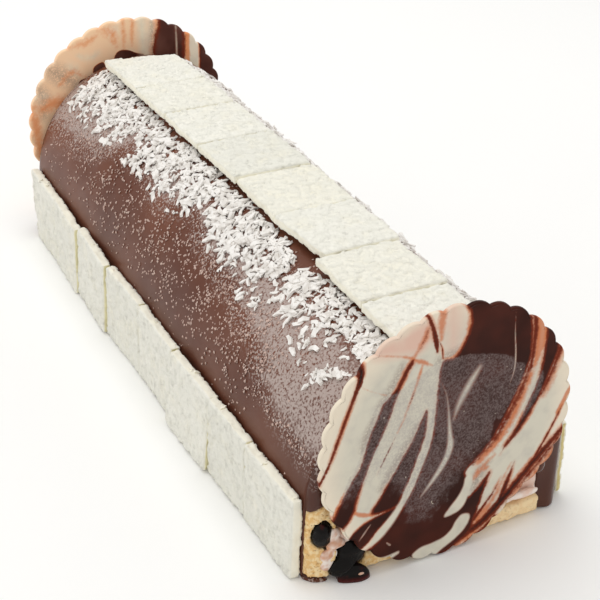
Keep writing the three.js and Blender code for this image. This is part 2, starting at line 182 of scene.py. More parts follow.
class Nodes:
    """A node tree that is filled by one method for every kind of node.

    Numbers stand for sockets that share a name, of the Mix node and the Vector Math node.
    """

    MIX_INPUTS = (0, 6, 7)
    MIX_RESULT = 2
    SCALE_INPUT = 3

    def __init__(self, tree: bpy.types.NodeTree) -> None:
        """Keeps the tree to fill."""
        self.tree = tree

    def feed(self, socket: bpy.types.NodeSocket, value: Any) -> None:
        """Links a term to a socket, or sets the socket's own value.

        Args:
            socket: The input socket.
            value: A term or a plain value.
        """
        if isinstance(value, Term):
            self.tree.links.new(value.socket, socket)
        else:
            socket.default_value = value

    def node(self, kind: str, settings: Values | None = None, inputs: Inputs | None = None) -> bpy.types.Node:
        """Adds a node.

        Args:
            kind: The node's type.
            settings: Its own settings, which are set first.
            inputs: Values or terms for its sockets, by name or number.

        Returns:
            The new node.
        """
        made = self.tree.nodes.new(kind)
        for name, value in (settings or {}).items():
            setattr(made, name, value)
        for key, value in (inputs or {}).items():
            self.feed(made.inputs[key], value)
        return made

    def term(
        self, kind: str, settings: Values | None = None, inputs: Inputs | None = None, output: str | int = 0
    ) -> Term:
        """Adds a node and gives one of its outputs."""
        return Term(self, self.node(kind, settings, inputs).outputs[output])

    def blend(self, share: Term | float, first: Term | Colour, second: Term | Colour) -> Term:
        """Mixes two colours."""
        inputs = dict(zip(self.MIX_INPUTS, (share, first, second)))
        return self.term("ShaderNodeMix", {"data_type": "RGBA"}, inputs, self.MIX_RESULT)

    def vector(self, operation: str, first: Any, second: Any) -> Term:
        """Adds a Vector Math node."""
        key = self.SCALE_INPUT if operation == "SCALE" else 1
        return self.term("ShaderNodeVectorMath", {"operation": operation}, {0: first, key: second})

    def noise(self, place: Term, size: Term | float, detail: float = 2.0, seed: Term | float = 0.0) -> Term:
        """Adds a noise of about 0 to 1."""
        inputs = {"Vector": place, "W": seed, "Scale": 1 / MM / size, "Detail": detail}
        return self.term("ShaderNodeTexNoise", {"noise_dimensions": "4D"}, inputs)

    def shreds(self, place: Term, size: Term | float, bend: float = 1.2, bends: float = 0.6) -> Term:
        """Adds a pattern of bent, angular cells that each have one value of 0 to 1.

        Args:
            place: Where it is read, in metres.
            size: The size of the cells in millimetres.
            bend: How far the cells are bent, in millimetres.
            bends: How many bends there are in a millimetre.

        Returns:
            The cell's value.
        """
        bending = {"Vector": place, "Scale": bends / MM, "Detail": 1.0}
        swing = self.term("ShaderNodeTexNoise", None, bending, "Color")
        bent = self.vector("ADD", place, self.vector("SCALE", swing, bend * MM))
        cell = self.term("ShaderNodeTexVoronoi", None, {"Vector": bent, "Scale": 1 / MM / size}, "Color")
        return self.term("ShaderNodeSeparateXYZ", None, {0: cell})


class Shader(Nodes):
    """A material's nodes, around one Principled shader."""

    def __init__(self, name: str, gloss: float) -> None:
        """Starts a material.

        Args:
            name: The material's name.
            gloss: Its specular level, which is the same all over.
        """
        self.material = bpy.data.materials.new(name)
        self.material.use_nodes = True
        super().__init__(self.material.node_tree)
        self.tree.nodes.clear()
        self.surface = self.node("ShaderNodeBsdfPrincipled", None, {"Specular IOR Level": gloss})
        self.node("ShaderNodeOutputMaterial", None, {"Surface": Term(self, self.surface.outputs[0])})
        self.place = self.term("ShaderNodeTexCoord", None, None, "Object")

    def attribute(self, name: str) -> Term:
        """Reads a number that the mesh carries."""
        return self.term("ShaderNodeAttribute", {"attribute_name": name}, None, "Fac")

    def axis(self, name: str) -> Term:
        """Reads one axis of the place, in millimetres in the part's frame."""
        return self.term("ShaderNodeSeparateXYZ", None, {0: self.place}, name) * (1 / MM)

    def grain(self, size: float, detail: float = 2.0, seed: float = 0.0) -> Term:
        """Gives a noise over the surface, by the size of its patches in millimetres."""
        return self.noise(self.place, size, detail, seed)

    def dress(self, colour: Term, roughness: Term, height: Term | None = None) -> Material:
        """Links what varies over the surface.

        Args:
            colour: The base colour.
            roughness: The roughness.
            height: The fine relief in millimetres, if there is any.

        Returns:
            The finished material.
        """
        varied = {"Base Color": colour, "Roughness": roughness}
        if height is not None:
            relief = {"Strength": 1.0, "Distance": MM, "Height": height}
            varied["Normal"] = self.term("ShaderNodeBump", None, relief)
        for key, term in varied.items():
            self.feed(self.surface.inputs[key], term)
        return self.material


class GeometryTree(Nodes):
    """A Geometry Nodes tree with named inputs, run on a mesh and turned into a plain mesh."""

    def __init__(self, name: str, inputs: dict[str, str]) -> None:
        """Starts a tree.

        Args:
            name: The tree's name.
            inputs: The socket type of each named input.
        """
        super().__init__(bpy.data.node_groups.new(name, "GeometryNodeTree"))
        face = self.tree.interface
        face.new_socket("Geometry", in_out="INPUT", socket_type="NodeSocketGeometry")
        for label, kind in {**inputs, "Material": "NodeSocketMaterial"}.items():
            face.new_socket(label, in_out="INPUT", socket_type=kind)
        face.new_socket("Geometry", in_out="OUTPUT", socket_type="NodeSocketGeometry")
        self.source = self.node("NodeGroupInput")

    def given(self, label: str) -> Term:
        """Reads a named input."""
        return Term(self, self.source.outputs[label])

    def carried(self, name: str) -> Term:
        """Reads a number that the mesh carries."""
        return self.term("GeometryNodeInputNamedAttribute", {"data_type": "FLOAT"}, {"Name": name})

    def drawn(self, kind: str, low: Any, high: Any, draw: Draw) -> Term:
        """Draws a random value for each element.

        Args:
            kind: The value's data type.
            low: The lowest value.
            high: The highest value.
            draw: Which draw it is.

        Returns:
            The drawn value.
        """
        made = self.node("FunctionNodeRandomValue", {"data_type": kind}, {"Seed": draw.value})
        ports = [port for port in made.inputs if port.enabled]
        for port, value in zip(ports, (low, high)):
            self.feed(port, value)
        return Term(self, next(port for port in made.outputs if port.enabled))

    def close(self, geometry: Term) -> None:
        """Ends the tree in real meshes with their material.

        Args:
            geometry: What the tree has made.
        """
        real = self.term("GeometryNodeRealizeInstances", None, {"Geometry": geometry})
        inputs = {"Geometry": real, "Material": self.given("Material")}
        self.node("NodeGroupOutput", None, {"Geometry": self.term("GeometryNodeSetMaterial", None, inputs)})

    def run(self, mesh: Mesh, values: Values) -> Mesh:
        """Runs the tree on a mesh.

        Args:
            mesh: The mesh that it starts from, which is used up.
            values: A value for each named input.

        Returns:
            The plain mesh that comes out.
        """
        worker = placed("bench", mesh)
        modifier = worker.modifiers.new("tree", "NODES")
        modifier.node_group = self.tree
        for item in self.tree.interface.items_tree:
            if item.in_out == "INPUT" and item.name in values:
                modifier[item.identifier] = values[item.name]
        return taken_off(worker)


def placed(name: str, content: bpy.types.ID) -> bpy.types.Object:
    """Puts a mesh, a lens or a light into the scene.

    Args:
        name: The new object's name.
        content: What the object shows.

    Returns:
        The object.
    """
    made = bpy.data.objects.new(name, content)
    bpy.context.scene.collection.objects.link(made)
    return made


def turned(right: Array, up: Array, back: Array, place: Sequence[float]) -> Matrix:
    """Gives the matrix that turns an object and sets it down.

    Args:
        right: Where its own x points.
        up: Where its own y points.
        back: Where its own z points.
        place: Where it stands, in metres.

    Returns:
        The matrix.
    """
    matrix = Matrix(np.stack([right, up, back], -1).tolist()).to_4x4()
    matrix.translation = list(place)
    return matrix


def taken_off(worker: bpy.types.Object) -> Mesh:
    """Gives the plain mesh that a passing object's modifiers make, and removes the object.

    Args:
        worker: The passing object.

    Returns:
        The plain mesh.
    """
    name = worker.data.name
    shaped = worker.evaluated_get(bpy.context.evaluated_depsgraph_get())
    mesh = bpy.data.meshes.new_from_object(shaped)
    bpy.data.meshes.remove(worker.data)
    mesh.name = name
    return mesh


def worked(mesh: Mesh, steps: Sequence[tuple[str, Values]]) -> Mesh:
    """Works a mesh with a row of modifiers.

    Args:
        mesh: The mesh, which is used up.
        steps: Each modifier's type and settings.

    Returns:
        The plain mesh that comes out.
    """
    worker = placed("bench", mesh)
    for kind, settings in steps:
        modifier = worker.modifiers.new(kind.lower(), kind)
        for name, value in settings.items():
            setattr(modifier, name, value)
    return taken_off(worker)


def cut(mesh: Mesh, tool: Mesh, operation: str) -> Mesh:
    """Joins or cuts a closed mesh with another.

    Args:
        mesh: The mesh, which is used up.
        tool: The other mesh, which is used up too.
        operation: The boolean's name.

    Returns:
        The closed mesh that comes out.
    """
    settings = {"operation": operation, "solver": "MANIFOLD", "object": placed("tool", tool)}
    result = worked(mesh, [("BOOLEAN", settings)])
    bpy.data.meshes.remove(tool)
    return result


def remeshed(mesh: Mesh, voxel: float, smoothing: int) -> Mesh:
    """Gives a closed mesh small even faces and smooths them."""
    even = {"mode": "VOXEL", "voxel_size": voxel * MM, "use_smooth_shade": True}
    return worked(mesh, [("REMESH", even), ("SMOOTH", {"factor": 0.5, "iterations": smoothing})])


@dataclass(frozen=True)
class LogShape:
    """The log's cross-section and length, read off the coat."""

    half_width: float
    crest: float
    length: float
    origin: Array
    side_height: float = 25.5
    lip: float = 3.0
    base_steps: int = 24
    side_steps: int = 12
    crown_steps: int = 96

    @classmethod
    def from_frame(cls) -> "LogShape":
        """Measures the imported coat.

        Returns:
            The log's shape.
        """
        low, high = (np.array(corner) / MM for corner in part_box("chocolate_coat"))
        origin = np.array([(low[0] + high[0]) / 2, low[1] + cls.lip, 0.0])
        length = high[1] - low[1] - 2 * cls.lip
        return cls((high[0] - low[0]) / 2, high[2], length, origin)

    @property
    def crown_rise(self) -> float:
        """How far the rounded top rises above the straight sides."""
        return self.crest - self.side_height

    def outline(self, inset: float = 0.0, floor: float = 0.0) -> Array:
        """Gives the cross-section, from the left foot round by the floor, the right side and the crest.

        Args:
            inset: How far it is drawn in from the outer skin.
            floor: The height of its floor.

        Returns:
            A row of x and z for each point.
        """
        half = self.half_width - inset
        across = np.linspace(-half, half, self.base_steps, endpoint=False)
        base = np.stack([across, np.full_like(across, floor)], -1)
        rise = np.linspace(floor, self.side_height, self.side_steps, endpoint=False)
        right = np.stack([np.full_like(rise, half), rise], -1)
        turn = np.linspace(0.0, math.pi, self.crown_steps)
        height = self.side_height + (self.crown_rise - inset) * np.sin(turn)
        crown = np.stack([half * np.cos(turn), height], -1)
        left = np.stack([-right[:, 0], right[:, 1]], -1)[:0:-1]
        return np.concatenate([base, right, crown, left])

    def crown(self, angle: Array) -> tuple[Array, Array]:
        """Gives the x and the z of places on the rounded top, by their angle from the crest in radians."""
        return self.half_width * np.sin(angle), self.side_height + self.crown_rise * np.cos(angle)


SHAPE = LogShape.from_frame()


def mended(mesh: Mesh, mend: Callable[[bmesh.types.BMesh], Any]) -> None:
    """Mends a mesh in its place.

    Args:
        mesh: The mesh.
        mend: What is done to it in its editable form.
    """
    work = bmesh.new()
    work.from_mesh(mesh)
    mend(work)
    work.to_mesh(mesh)
    work.free()


def new_mesh(name: str, points: Array, faces: Sequence[Sequence[int]], closed: bool = True) -> Mesh:
    """Makes a mesh from places in the log's frame.

    Args:
        name: The mesh's name.
        points: Its vertices in millimetres.
        faces: The vertices of each face.
        closed: Whether it encloses a volume, so that its faces are turned outward.

    Returns:
        The mesh, in metres in the part's frame.
    """
    mesh = bpy.data.meshes.new(name)
    mesh.from_pydata(((points + SHAPE.origin) * MM).tolist(), [], faces)
    if closed:
        mended(mesh, lambda work: bmesh.ops.recalc_face_normals(work, faces=work.faces))
    mesh.update()
    return mesh


def vertex_rows(mesh: Mesh, name: str) -> Array:
    """Reads a vector at each of a mesh's vertices.

    Args:
        mesh: The mesh.
        name: The vector's name.

    Returns:
        A row for each vertex.
    """
    flat = np.empty(len(mesh.vertices) * 3, np.float32)
    mesh.vertices.foreach_get(name, flat)
    return flat.reshape(-1, 3)


def points_of(mesh: Mesh) -> Array:
    """Gives a mesh's vertices in the log's frame, in millimetres."""
    return vertex_rows(mesh, "co") / MM - SHAPE.origin


def normals_of(mesh: Mesh) -> Array:
    """Gives the outward directions at a mesh's vertices."""
    return vertex_rows(mesh, "normal")


def move_points(mesh: Mesh, points: Array) -> None:
    """Sets a mesh's vertices from places in the log's frame."""
    mesh.vertices.foreach_set("co", ((points + SHAPE.origin) * MM).astype(np.float32).ravel())
    mesh.update()


def carry(mesh: Mesh, name: str, values: Array) -> None:
    """Lets a mesh carry a number at each vertex."""
    made = mesh.attributes.new(name, "FLOAT", "POINT")
    made.data.foreach_set("value", np.broadcast_to(values, len(mesh.vertices)).astype(np.float32))


def merged_copy(node: str) -> Mesh:
    """Copies a node's mesh with its loose triangles joined up.

    Args:
        node: The node's name.

    Returns:
        The copy.
    """
    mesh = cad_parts[node].data.copy()
    mended(mesh, lambda work: bmesh.ops.remove_doubles(work, verts=work.verts, dist=WELD_DISTANCE))
    mesh.name = node
    return mesh


def joined(name: str, meshes: Sequence[Mesh]) -> Mesh:
    """Puts several meshes into one.

    Args:
        name: The new mesh's name.
        meshes: The meshes, which stay as they are.

    Returns:
        The new mesh.
    """
    work = bmesh.new()
    for mesh in meshes:
        work.from_mesh(mesh)
    result = bpy.data.meshes.new(name)
    work.to_mesh(result)
    work.free()
    return result


def bands(rings: int, count: int, looped: bool = False) -> list[tuple[int, ...]]:
    """Gives the faces between rings of points that follow each other.

    Args:
        rings: How many rings there are.
        count: How many points each ring has.
        looped: Whether the last ring joins up with the first.

    Returns:
        The points of each face.
    """
    faces = []
    for ring in range(rings if looped else rings - 1):
        here, there = ring * count, (ring + 1) % rings * count
        for k in range(count):
            after = (k + 1) % count
            faces.append((here + k, here + after, there + after, there + k))
    return faces


def tube(name: str, rings: Sequence[Array], looped: bool = False) -> Mesh:
    """Makes a closed mesh of rings of points that follow each other.

    Args:
        name: The mesh's name.
        rings: The rings, with the same number of points each.
        looped: Whether the last ring joins up with the first. Otherwise the end rings get lids.

    Returns:
        The mesh.
    """
    count, total = len(rings[0]), len(rings[0]) * len(rings)
    lids = [] if looped else [tuple(range(count)), tuple(range(total - count, total))]
    return new_mesh(name, np.concatenate(rings), lids + bands(len(rings), count, looped))


def prism(outline: Array, start: float, end: float) -> Mesh:
    """Carries an outline of x and z along the log."""
    return tube("prism", [np.insert(outline, 1, y, axis=1) for y in (start, end)])


def block(half: float, start: float, end: float) -> Mesh:
    """Makes a box to cut with, which reaches equally far to all sides of the log."""
    return prism(np.array([[-half, -half], [half, -half], [half, half], [-half, half]]), start, end)


def blob(shape: Sequence[float]) -> Mesh:
    """Makes a rounded lump.

    Args:
        shape: Its middle and its three radii.

    Returns:
        The lump's mesh.
    """
    work = bmesh.new()
    bmesh.ops.create_icosphere(work, subdivisions=3, radius=1.0)
    points = np.array([vertex.co[:] for vertex in work.verts]) * shape[3:] + shape[:3]
    faces = [[vertex.index for vertex in face.verts] for face in work.faces]
    work.free()
    return new_mesh("blob", points, faces)


def curve(
    start: Sequence[float], bend: Sequence[float], end: Sequence[float], steps: int = 12
) -> list[tuple[float, ...]]:
    """Gives points on a curve from one point to another, drawn towards a third.

    Args:
        start: The first point.
        bend: The point that the curve is drawn towards.
        end: The last point.
        steps: How many steps it has.

    Returns:
        The points, with both ends.
    """
    first, pull, last = np.array(start), np.array(bend), np.array(end)
    shares = np.linspace(0.0, 1.0, steps + 1)
    return [tuple((1 - t) ** 2 * first + 2 * t * (1 - t) * pull + t * t * last) for t in shares]


def row_value(row: Path, places: Array) -> Array:
    """Reads a row of places and values at other places, straight between its points."""
    return np.interp(places, *np.array(row).T)


def hump(away: Array, spread: float) -> Array:
    """Gives a soft hump, which is 1 at no distance and fades over the spread."""
    return np.exp(-((away / spread) ** 2))


def ripples(points: Array, size: float, seed: int, waves: int = 7, spread: Span = (0.6, 1.5)) -> Array:
    """Gives a soft, repeatable unevenness of about -1 to 1.

    Args:
        points: The places where it is read.
        size: The length of its waves in millimetres.
        seed: Which unevenness it is.
        waves: How many waves are laid over each other.
        spread: The least and the most that a wave's quickness is multiplied by.

    Returns:
        Its value at each place.
    """
    draw = np.random.default_rng(seed)
    total = np.zeros(len(points))
    for _ in range(waves):
        direction = draw.normal(size=points.shape[1])
        direction *= 2 * math.pi * draw.uniform(*spread) / (size * np.linalg.norm(direction))
        total += np.sin(points @ direction + draw.uniform(0, 2 * math.pi))
    return total / math.sqrt(2 * waves)


def settle(name: str, mesh: Mesh, material: Material, nodes: Sequence[str] = ()) -> None:
    """Makes a finished piece of a mesh and sets it on the part.

    Args:
        name: The piece's name.
        mesh: Its mesh, already in place.
        material: Its finish.
        nodes: The nodes that it stands for.
    """
    move_points(mesh, np.maximum(points_of(mesh), [-np.inf, -np.inf, 0.0]))
    mesh.materials.clear()
    mesh.materials.append(material)
    piece = placed(name, mesh)
    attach(piece, BODY)
    if nodes:
        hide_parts(*nodes)
    mesh.calc_loop_triangles()
    log.info("%s: %d triangles", name, len(mesh.loop_triangles))


@dataclass(frozen=True)
class CoatFinish:
    """Milk chocolate with painted shade low towards the near foot, under mauve droplets, partly a painted
    sheen, as thick as the mesh says.
    """

    name: str = "milk_chocolate"
    gloss: float = 0.22
    rough: float = 0.26
    deep: Colour = srgb(100, 56, 39)
    warm: Colour = srgb(120, 72, 52)
    # Painted shade: the darker brown laid low down towards the near foot.
    dark: Colour = srgb(66, 34, 25)
    # Mauve droplet bloom, partly a painted sheen on the slopes.
    mauve_bloom_and_sheen: Colour = srgb(182, 166, 159)
    cloud_size: float = 34.0
    painted_shade_along: Span = (120.0, 20.0)
    painted_shade_height: Span = (66.0, 42.0)
    painted_shade_share: float = 0.35
    droplet_size: float = 0.85
    drift_size: float = 8.0
    drift_reach: float = 14.0
    thick_depth: Span = (0.0, 9.0)
    thin_depth: Span = (-9.0, 3.0)
    veil_share: float = 0.92
    smudge_size: float = 6.0
    wave_size: float = 9.0
    wave_height: float = 0.12

    def material(self) -> Material:
        """Builds the material.

        Returns:
            The finish.
        """
        nodes = Shader(self.name, self.gloss)
        clouds = nodes.grain(self.cloud_size, detail=3.0).ease(0.35, 0.65)
        colour = nodes.blend(clouds, self.deep, self.warm)
        # Painted shade, low down towards the near foot.
        foot = nodes.axis("Y").ease(*self.painted_shade_along) * nodes.axis("Z").ease(*self.painted_shade_height)
        colour = nodes.blend(foot * self.painted_shade_share, colour, self.dark)
        droplets = nodes.grain(self.droplet_size, detail=1.0, seed=2.0)
        drift = (nodes.grain(self.drift_size, detail=3.0, seed=4.0) - 0.5) * self.drift_reach
        depth = nodes.attribute("veil") + drift
        thick = depth.ease(*self.thick_depth) * droplets.ease(0.28, 0.56)
        veil = thick.most(depth.ease(*self.thin_depth) * droplets.ease(0.52, 0.6))
        # The droplet veil: real bloom, partly a painted sheen.
        colour = nodes.blend(veil * self.veil_share, colour, self.mauve_bloom_and_sheen)
        smudges = nodes.grain(self.smudge_size, detail=3.0, seed=1.0)
        waves = nodes.grain(self.wave_size, seed=6.0) * self.wave_height
        return nodes.dress(colour, smudges * 0.16 + veil * 0.2 + self.rough, veil * 0.05 + waves)


@dataclass(frozen=True)
class CoconutFinish:
    """Grated coconut: two close tones in patches, with a fine fibre."""

    name: str
    pale: Colour
    shade: Colour
    gloss: float = 0.25
    rough: float = 0.55
    patch_size: float = 3.0
    fibre_size: float = 1.1
    fibre_height: float = 0.12

    def material(self) -> Material:
        """Builds the material.

        Returns:
            The finish.
        """
        nodes = Shader(self.name, self.gloss)
        fibre = nodes.grain(self.fibre_size)
        patches = nodes.grain(self.patch_size, seed=3.0).ease(0.4, 0.65)
        colour = nodes.blend(patches, self.pale, self.shade)
        return nodes.dress(colour, fibre * 0.2 + self.rough, fibre * self.fibre_height)


@dataclass(frozen=True)
class TileFinish:
    """White chocolate with coconut in it: grainy grey-white faces and smoother, yellower cut edges, with
    painted shade on the right row's cut faces and in the sunk shreds.
    """

    gloss: float = 0.25
    rough: float = 0.5
    ivory: Colour = srgb(244, 242, 232)
    grey: Colour = srgb(228, 227, 216)
    butter: Colour = srgb(245, 239, 216)
    edge: Colour = srgb(250, 246, 228)
    joint: Colour = srgb(232, 225, 184)
    # Painted shade: the darker tan of the right row's cut faces.
    joint_in_shade: Colour = srgb(222, 205, 146)
    cloud_size: float = 7.0
    cloud_share: float = 0.35
    shred_size: float = 1.7
    shred_depth: float = 0.3
    pit_size: float = 1.4
    mottle_and_shade_share: float = 0.6
    edge_share: float = 0.8
    joint_shade_across: Span = (30.0, 40.0)
    grain_size: float = 0.7
    grain_height: float = 0.25

    def material(self) -> Material:
        """Builds the material.

        Returns:
            The finish.
        """
        nodes = Shader("white_chocolate", self.gloss)
        tone, rim, joint = (nodes.attribute(name) for name in ("tone", "rim", "joint"))
        colour = nodes.blend(tone.ease(0.0, -1.0), self.ivory, self.grey)
        colour = nodes.blend(tone.ease(0.0, 1.0), colour, self.butter)
        clouds = nodes.grain(self.cloud_size, detail=3.0, seed=5.0).ease(0.45, 0.7)
        colour = nodes.blend(clouds * self.cloud_share, colour, self.butter)
        shreds = nodes.shreds(nodes.place, self.shred_size)
        pits = nodes.grain(self.pit_size, seed=7.0).ease(0.52, 0.34)
        # Grey mottling: random pits, and painted shade in the shred cells that the relief sinks.
        colour = nodes.blend(pits.most(shreds) * (1.0 - rim) * self.mottle_and_shade_share, colour, self.grey)
        colour = nodes.blend(rim.ease(0.4, 0.9) * self.edge_share, colour, self.edge)
        # The right row's cut faces get a darker tan as painted shade.
        cut_face = nodes.blend(nodes.axis("X").ease(*self.joint_shade_across), self.joint, self.joint_in_shade)
        colour = nodes.blend(joint.ease(0.5, 0.9), colour, cut_face)
        grain = nodes.grain(self.grain_size, detail=3.0, seed=1.0)
        relief = grain * self.grain_height - shreds * self.shred_depth
        return nodes.dress(colour, grain * 0.2 + self.rough, relief * (1.0 - rim * 0.8))


@dataclass(frozen=True)
class SpongeFinish:
    """Golden sponge with pale crumbs, painted shade in its pores, and painted light that makes it paler to
    the right.
    """

    gloss: float = 0.12
    rough: float = 0.82
    crumb: Colour = srgb(232, 190, 128)
    pale: Colour = srgb(246, 220, 172)
    pore_shade: Colour = srgb(196, 142, 82)
    # Painted light, laid over the sponge's right part, which stands in shade.
    light: Colour = srgb(255, 230, 188)
    crumb_size: float = 1.5
    crumb_height: float = 0.3
    pore_size: float = 0.9
    pore_depth: float = 0.25
    pore_shade_share: float = 0.6
    painted_light_across: Span = (4.0, 22.0)
    painted_light_share: float = 0.6

    def material(self) -> Material:
        """Builds the material.

        Returns:
            The finish.
        """
        nodes = Shader("sponge_crumb", self.gloss)
        mottle = nodes.grain(self.crumb_size, detail=3.0)
        colour = nodes.blend(mottle.ease(0.4, 0.62), self.crumb, self.pale)
        # Painted shade in the pores, which the relief sinks.
        pores = nodes.grain(self.pore_size, seed=3.0).ease(0.42, 0.28)
        colour = nodes.blend(pores * self.pore_shade_share, colour, self.pore_shade)
        # Painted light towards the right.
        colour = nodes.blend(nodes.axis("X").ease(*self.painted_light_across) * self.painted_light_share, colour, self.light)
        relief = mottle * self.crumb_height - pores * self.pore_depth
        return nodes.dress(colour, mottle * 0.1 + self.rough, relief)


@dataclass(frozen=True)
class CreamFinish:
    """Whipped cream, tinted pink and rust where the cherries have bled."""

    gloss: float = 0.3
    rough: float = 0.4
    white: Colour = srgb(245, 232, 222)
    blush: Colour = srgb(234, 200, 182)
    rust: Colour = srgb(206, 140, 98)
    drift_size: float = 7.0
    drift_height: float = 0.4
    stain_size: float = 3.4
    stain_across: Span = (-24.0, -34.0)
    stain_share: float = 0.85
    grain_size: float = 1.5
    grain_height: float = 0.1

    def material(self) -> Material:
        """Builds the material.

        Returns:
            The finish.
        """
        nodes = Shader("whipped_cream", self.gloss)
        drift = nodes.grain(self.drift_size, detail=3.0)
        colour = nodes.blend(drift.ease(0.46, 0.66), self.white, self.blush)
        bled = nodes.axis("X").ease(*self.stain_across)
        stains = nodes.grain(self.stain_size, seed=5.0).ease(0.36, 0.6) * bled
        colour = nodes.blend(stains * self.stain_share, colour, self.rust)
        grain = nodes.grain(self.grain_size, seed=8.0) * self.grain_height
        return nodes.dress(colour, drift * 0.2 + self.rough, drift * self.drift_height + grain)


@dataclass(frozen=True)
class CherryFinish:
    """Preserved dark cherries: nearly black, wet, red where light comes through and at the ground."""

    gloss: float = 0.12
    rough: float = 0.12
    black: Colour = srgb(19, 16, 15)
    red: Colour = srgb(80, 18, 14)
    bleed_size: float = 4.0
    bleed_share: float = 0.5
    bleed_height: float = 0.4
    juice_height: Span = (2.4, 0.2)
    juice_share: float = 0.9

    def material(self) -> Material:
        """Builds the material.

        Returns:
            The finish.
        """
        nodes = Shader("dark_cherry", self.gloss)
        bleed = nodes.grain(self.bleed_size)
        juice = nodes.axis("Z").ease(*self.juice_height) * self.juice_share
        red = (bleed.ease(0.56, 0.75) * self.bleed_share).most(juice)
        colour = nodes.blend(red, self.black, self.red)
        return nodes.dress(colour, bleed * 0.15 + self.rough, bleed * self.bleed_height)


@dataclass(frozen=True)
class PlaqueFinish:
    """Marbled chocolate: dark pours with rust and amber margins on white, under a grainy bloom."""

    name: str
    peach: Colour
    white: Colour = srgb(219, 213, 196)
    smoke: Colour = srgb(192, 186, 176)
    cream: Colour = srgb(240, 227, 206)
    shade: Colour = srgb(136, 116, 108)
    orange: Colour = srgb(206, 116, 68)
    rust: Colour = srgb(122, 46, 24)
    dark: Colour = srgb(52, 25, 19)
    brown: Colour = srgb(74, 33, 24)
    bloom_dark: Colour = srgb(122, 107, 105)
    bloom_white: Colour = srgb(168, 160, 157)
    gloss: float = 0.07
    rough: float = 0.3
    wander_size: float = 2.2
    wander_reach: float = 1.1
    fray_size: float = 0.7
    fray_reach: float = 0.6
    drift_size: float = 9.0
    grit_size: float = 0.6
    clump_size: float = 2.6
    smoke_size: float = 5.0
    pour_size: float = 13.0
    spark_size: float = 1.1

    def material(self) -> Material:
        """Builds the material.

        Returns:
            The finish.
        """
        nodes = Shader(self.name, self.gloss)
        layers = {tone: nodes.attribute(tone.name) for tone in Tone if tone is not Tone.CLEAR}
        wander = (nodes.grain(self.wander_size) - 0.5) * self.wander_reach
        wobble = wander + (nodes.grain(self.fray_size, detail=1.0, seed=3.0) - 0.5) * self.fray_reach
        dark, amber = layers[Tone.DARK] + wobble, layers[Tone.AMBER] + wobble
        pale = (layers[Tone.PALE] + wobble * 0.5).ease(0.9, -0.8)
        drift = nodes.grain(self.drift_size, seed=6.0)
        grit = nodes.grain(self.grit_size, detail=1.0, seed=8.0)
        clumps = nodes.grain(self.clump_size, detail=3.0, seed=2.0)
        bloom = (layers[Tone.BLOOM] + (clumps - 0.5) * 1.1).ease(0.2, 0.85)
        smoke = nodes.grain(self.smoke_size, detail=3.0, seed=4.0).ease(0.4, 0.75)
        white = nodes.blend(smoke * 0.5, self.white, self.smoke)
        colour = nodes.blend(nodes.attribute("edge") * 0.9, white, self.cream)
        colour = nodes.blend(layers[Tone.BLUSH] * drift.ease(0.15, 0.5), colour, self.peach)
        colour = nodes.blend(layers[Tone.HAZE] * grit.ease(0.2, 0.6) * 0.75, colour, self.shade)
        colour = nodes.blend(amber.ease(1.0, -0.2) * 0.8, colour, self.orange)
        fringe = dark.ease(1.7, 0.4) * drift.ease(0.3, 0.62) * (1.0 - bloom * 0.75)
        colour = nodes.blend(fringe * 0.8, colour, self.orange)
        colour = nodes.blend(dark.ease(0.7, -0.1), colour, self.rust)
        pours = nodes.grain(self.pour_size, seed=9.0).ease(0.35, 0.7)
        colour = nodes.blend(dark.ease(0.1, -1.1), colour, nodes.blend(pours, self.dark, self.brown))
        colour = nodes.blend(pale, colour, white)
        body = dark.ease(0.8, -0.7) * (1.0 - pale)
        veil = bloom * (grit.ease(0.32, 0.68) * 0.7 + clumps.ease(0.3, 0.7) * 0.25 + 0.15)
        film = nodes.blend(body, self.bloom_white, self.bloom_dark)
        colour = nodes.blend(veil * (body * 0.3 + pale * 0.3 + 0.42), colour, film)
        sparks = nodes.grain(self.spark_size, detail=1.0, seed=5.0).ease(0.74, 0.8) * bloom
        colour = nodes.blend(sparks * 0.6, colour, self.cream)
        roughness = bloom * 0.2 + drift * 0.1 + self.rough
        return nodes.dress(colour, roughness, body * 0.05 + veil * 0.05 + drift * 0.15)


@dataclass(frozen=True)
class FloorFinish:
    """A plain pale floor with a trace of unevenness."""

    gloss: float = 0.1
    rough: float = 0.8
    pale: Colour = srgb(251, 251, 250)
    paler: Colour = srgb(254, 254, 253)
    drift_size: float = 160.0

    def material(self) -> Material:
        """Builds the material.

        Returns:
            The finish.
        """
        nodes = Shader("pale_floor", self.gloss)
        drift = nodes.grain(self.drift_size)
        return nodes.dress(nodes.blend(drift, self.pale, self.paler), drift * 0.1 + self.rough)


